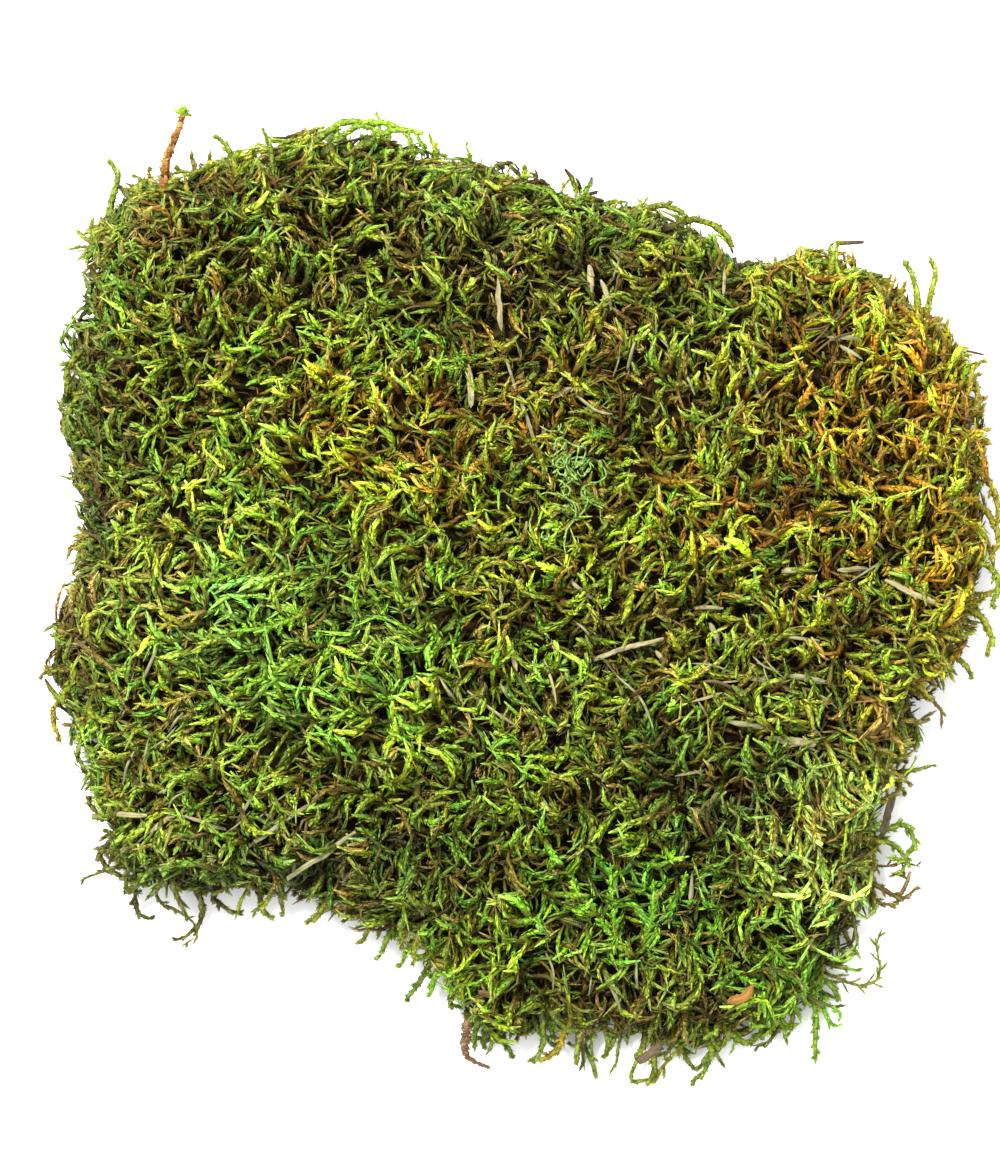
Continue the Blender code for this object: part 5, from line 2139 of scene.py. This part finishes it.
LITTER = (
    (Litter.STRAW, 1.3, ((-4.8, 0.4), (-4.5, -2.2))),
    (Litter.BARK, 0.8, ((-6.8, 7.5), (-6.2, 1.8))),
    (Litter.GREY, 1.1, ((79.8, 62.2), (85.2, 58.8))),
    (Litter.RUST, 0.55, ((72, 62), (76, 66), (80, 72))),
    (Litter.RUST, 0.55, ((73, 60), (78, 64), (84, 66))),
    (Litter.RUST, 0.5, ((70, 66), (76, 67), (81, 70.5))),
    (Litter.RUST, 0.5, ((74, 68), (79, 69), (82, 74))),
    (Litter.RUST, 0.45, ((-32, 68), (-28, 71.5), (-23, 72.2))),
    (Litter.GREY, 0.9, ((21.2, -95), (23.5, -99), (25.2, -103.4))),
    (Litter.RUST, 1.5, ((-10.5, -98.6), (-5.8, -100))),
    (Litter.GREY, 0.7, ((14, 50), (19, 46), (23, 45))),
    (Litter.STRAW, 0.8, ((6, -16), (8, -22), (9, -27))),
    (Litter.STRAW, 0.8, ((-13, -24), (-5, -30), (0, -33))),
    (Litter.GREY, 0.7, ((24, -20), (30, -26), (33, -33))),
)


@dataclass(frozen=True)
class LitterPatch:
    """A stretch where small bits of dry grass lie: centre, reach, count and the way most of them lie."""

    centre: tuple[float, float]
    reach: tuple[float, float]
    count: int
    heading: float
    length: float = 7.0


LITTER_PATCHES = (
    LitterPatch((60, -22), (26, 14), 24, 172),
    LitterPatch((88, 0), (14, 14), 8, 165),
    LitterPatch((4, -20), (24, 14), 8, 120),
    LitterPatch((-78, -56), (28, 8), 16, 25),
    LitterPatch((30, 66), (34, 18), 8, 95),
    LitterPatch((-94, -12), (10, 20), 12, 60),
    LitterPatch((20, -94), (26, 6), 8, 280),
)


@dataclass
class LooseLitter:
    """Small straws, root threads and chips among the shoots."""

    plan: SheetPlan
    surface: SheetSurface
    lowest: float = 6.0 * MM
    mix: tuple[Litter, ...] = (Litter.STRAW, Litter.GREY, Litter.GREY, Litter.RUST)
    pieces: list[bpy.types.Object] = field(default_factory=list)

    def build(self) -> None:
        """Draws them as one piece a finish."""
        rng = np.random.default_rng(SEED + 1700)
        bits = []
        for kind, width, spots in LITTER:
            bits.append((kind, width, [self.above(*spot, rng.uniform(0.2, 0.9)) for spot in spots]))
        for patch in LITTER_PATCHES:
            for _ in range(patch.count):
                x, y = np.array(patch.centre) + rng.normal(0, 0.6, 2) * np.array(patch.reach)
                heading = math.radians(patch.heading) + rng.normal(0, 0.45)
                half = patch.length / 2 * np.clip(rng.normal(1, 0.35), 0.35, 1.8)
                dx, dy, bow = math.cos(heading) * half, math.sin(heading) * half, rng.normal(0, 0.12) * half
                middle = x - dy * bow / half, y + dx * bow / half
                spots = ((x - dx, y - dy, -1.6), (*middle, 0.1), (x + dx, y + dy, -0.9))
                kind = self.mix[rng.integers(0, len(self.mix))]
                if all(self.above(px, py, 0).z > self.lowest for px, py, _ in spots):
                    bits.append((kind, rng.uniform(0.4, 0.85), [self.above(*spot) for spot in spots]))
        for kind in Litter:
            mesh = DryMesh(f"litter_{kind.value.name}", rng)
            for made_of, width, line in bits:
                if made_of is kind:
                    thin = StickCut(width * MM, width * 0.7 * MM, 5)
                    cut = StickCut.blade(width * MM) if width > 0.8 else thin
                    mesh.draw(line, cut, 1.4 * MM)
            self.pieces.append(mesh.piece(kind.value))
        log.info("%d bits of litter", len(bits))

    def above(self, x: float, y: float, lift: float) -> Vector:
        """A point lift millimetres over the turf at a plan point, and never under the sheet's rim."""
        return self.surface.above(self.plan.at(x, y), lift * MM, 2 * MM)

    def dress(self) -> None:
        """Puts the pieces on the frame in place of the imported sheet."""
        for piece in self.pieces:
            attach(piece, "root")
            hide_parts(SHEET)


# ---- The studio ----


@dataclass
class Studio:
    """Floor, soft light and the camera that looks down at the clump."""

    plan: SheetPlan
    aim: tuple[float, float, float] = (-5.0, 3.1, 20.0)
    elevation: float = 87.0
    lens: float = 150.0
    view_height: float = 292.0 * MM
    floor_size: float = 6.0
    sky: float = 1.5
    lamps: tuple[tuple[str, tuple[float, float, float], float, float], ...] = (
        ("key", (-0.6, 0.75, 1.4), 0.55, 68.0), ("fill", (0.9, -0.3, 1.0), 1.0, 4.0),
    )

    def build(self) -> None:
        """Makes the floor, the lights, the sky and the camera."""
        self.floor()
        for lamp in self.lamps:
            self.light(*lamp)
        world = bpy.data.worlds.new("studio_sky")
        world.use_nodes = True
        background = world.node_tree.nodes["Background"]
        background.inputs["Color"].default_value = (1, 1, 1, 1)
        background.inputs["Strength"].default_value = self.sky
        bpy.context.scene.world = world
        bpy.context.scene.view_settings.view_transform = "Standard"
        self.camera()

    def floor(self) -> None:
        """A plain plane at the height that the clump stands on."""
        body = bmesh.new()
        bmesh.ops.create_grid(body, x_segments=1, y_segments=1, size=self.floor_size / 2)
        mesh = bpy.data.meshes.new("floor")
        body.to_mesh(mesh)
        body.free()
        mesh.materials.append(FloorFinish().material())
        floor = linked("floor", mesh)
        floor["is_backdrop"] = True

    def light(self, name: str, place: tuple[float, float, float], size: float, power: float) -> None:
        """A square lamp that faces the clump.

        Args:
            name: the lamp's name.
            place: where it hangs.
            size: the length of its side.
            power: its power in watts.
        """
        data = bpy.data.lights.new(name, "AREA")
        data.size, data.energy = size, power
        lamp = bpy.data.objects.new(name, data)
        lamp.location = place
        lamp.rotation_euler = (-Vector(place)).to_track_quat("-Z", "Y").to_euler()
        bpy.context.scene.collection.objects.link(lamp)

    def camera(self) -> None:
        """The camera, nearly straight above, with the plan's +Y up in its view."""
        data = bpy.data.cameras.new("camera")
        data.lens = self.lens
        target = self.plan.at(*self.aim)
        distance = self.lens / data.sensor_width * self.view_height
        tilt = math.radians(90 - self.elevation)
        camera = bpy.data.objects.new("camera", data)
        camera.location = target + Vector((0, -math.sin(tilt), math.cos(tilt))) * distance
        camera.rotation_euler = (tilt, 0, 0)
        data.clip_start, data.clip_end = 0.01, 20
        bpy.context.scene.collection.objects.link(camera)
        bpy.context.scene.camera = camera


def measure() -> None:
    """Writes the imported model's box and the visual model's."""
    boxes = {"cad": CAD_BOX, "visual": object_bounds()}
    {name: [list(corner) for corner in corners] for name, corners in boxes.items()}


def main() -> None:
    """Builds the studio, then the clump, piece by piece."""
    logging.basicConfig(level=logging.INFO, format="%(message)s")
    plan = SheetPlan.of_sheet()
    for finish in FINISHES:
        finish.material()
    Studio(plan).build()
    surface = SheetSurface()
    nursery = Nursery()
    growth = GrowthField(plan)
    for assembly in (
        Thatch(surface),
        Turf(surface, growth, nursery),
        TopFronds(plan, surface, nursery),
        RimFringe(plan, surface, nursery),
        LooseFronds(plan, nursery),
        DryGrass(),
        Woodwork(plan),
        Root(plan, nursery),
        LichenTuft(plan, surface, nursery),
        LooseLitter(plan, surface),
    ):
        assembly.build()
        assembly.dress()
        log.info("%s built", type(assembly).__name__)
    measure()


if __name__ == "__main__":
    main()
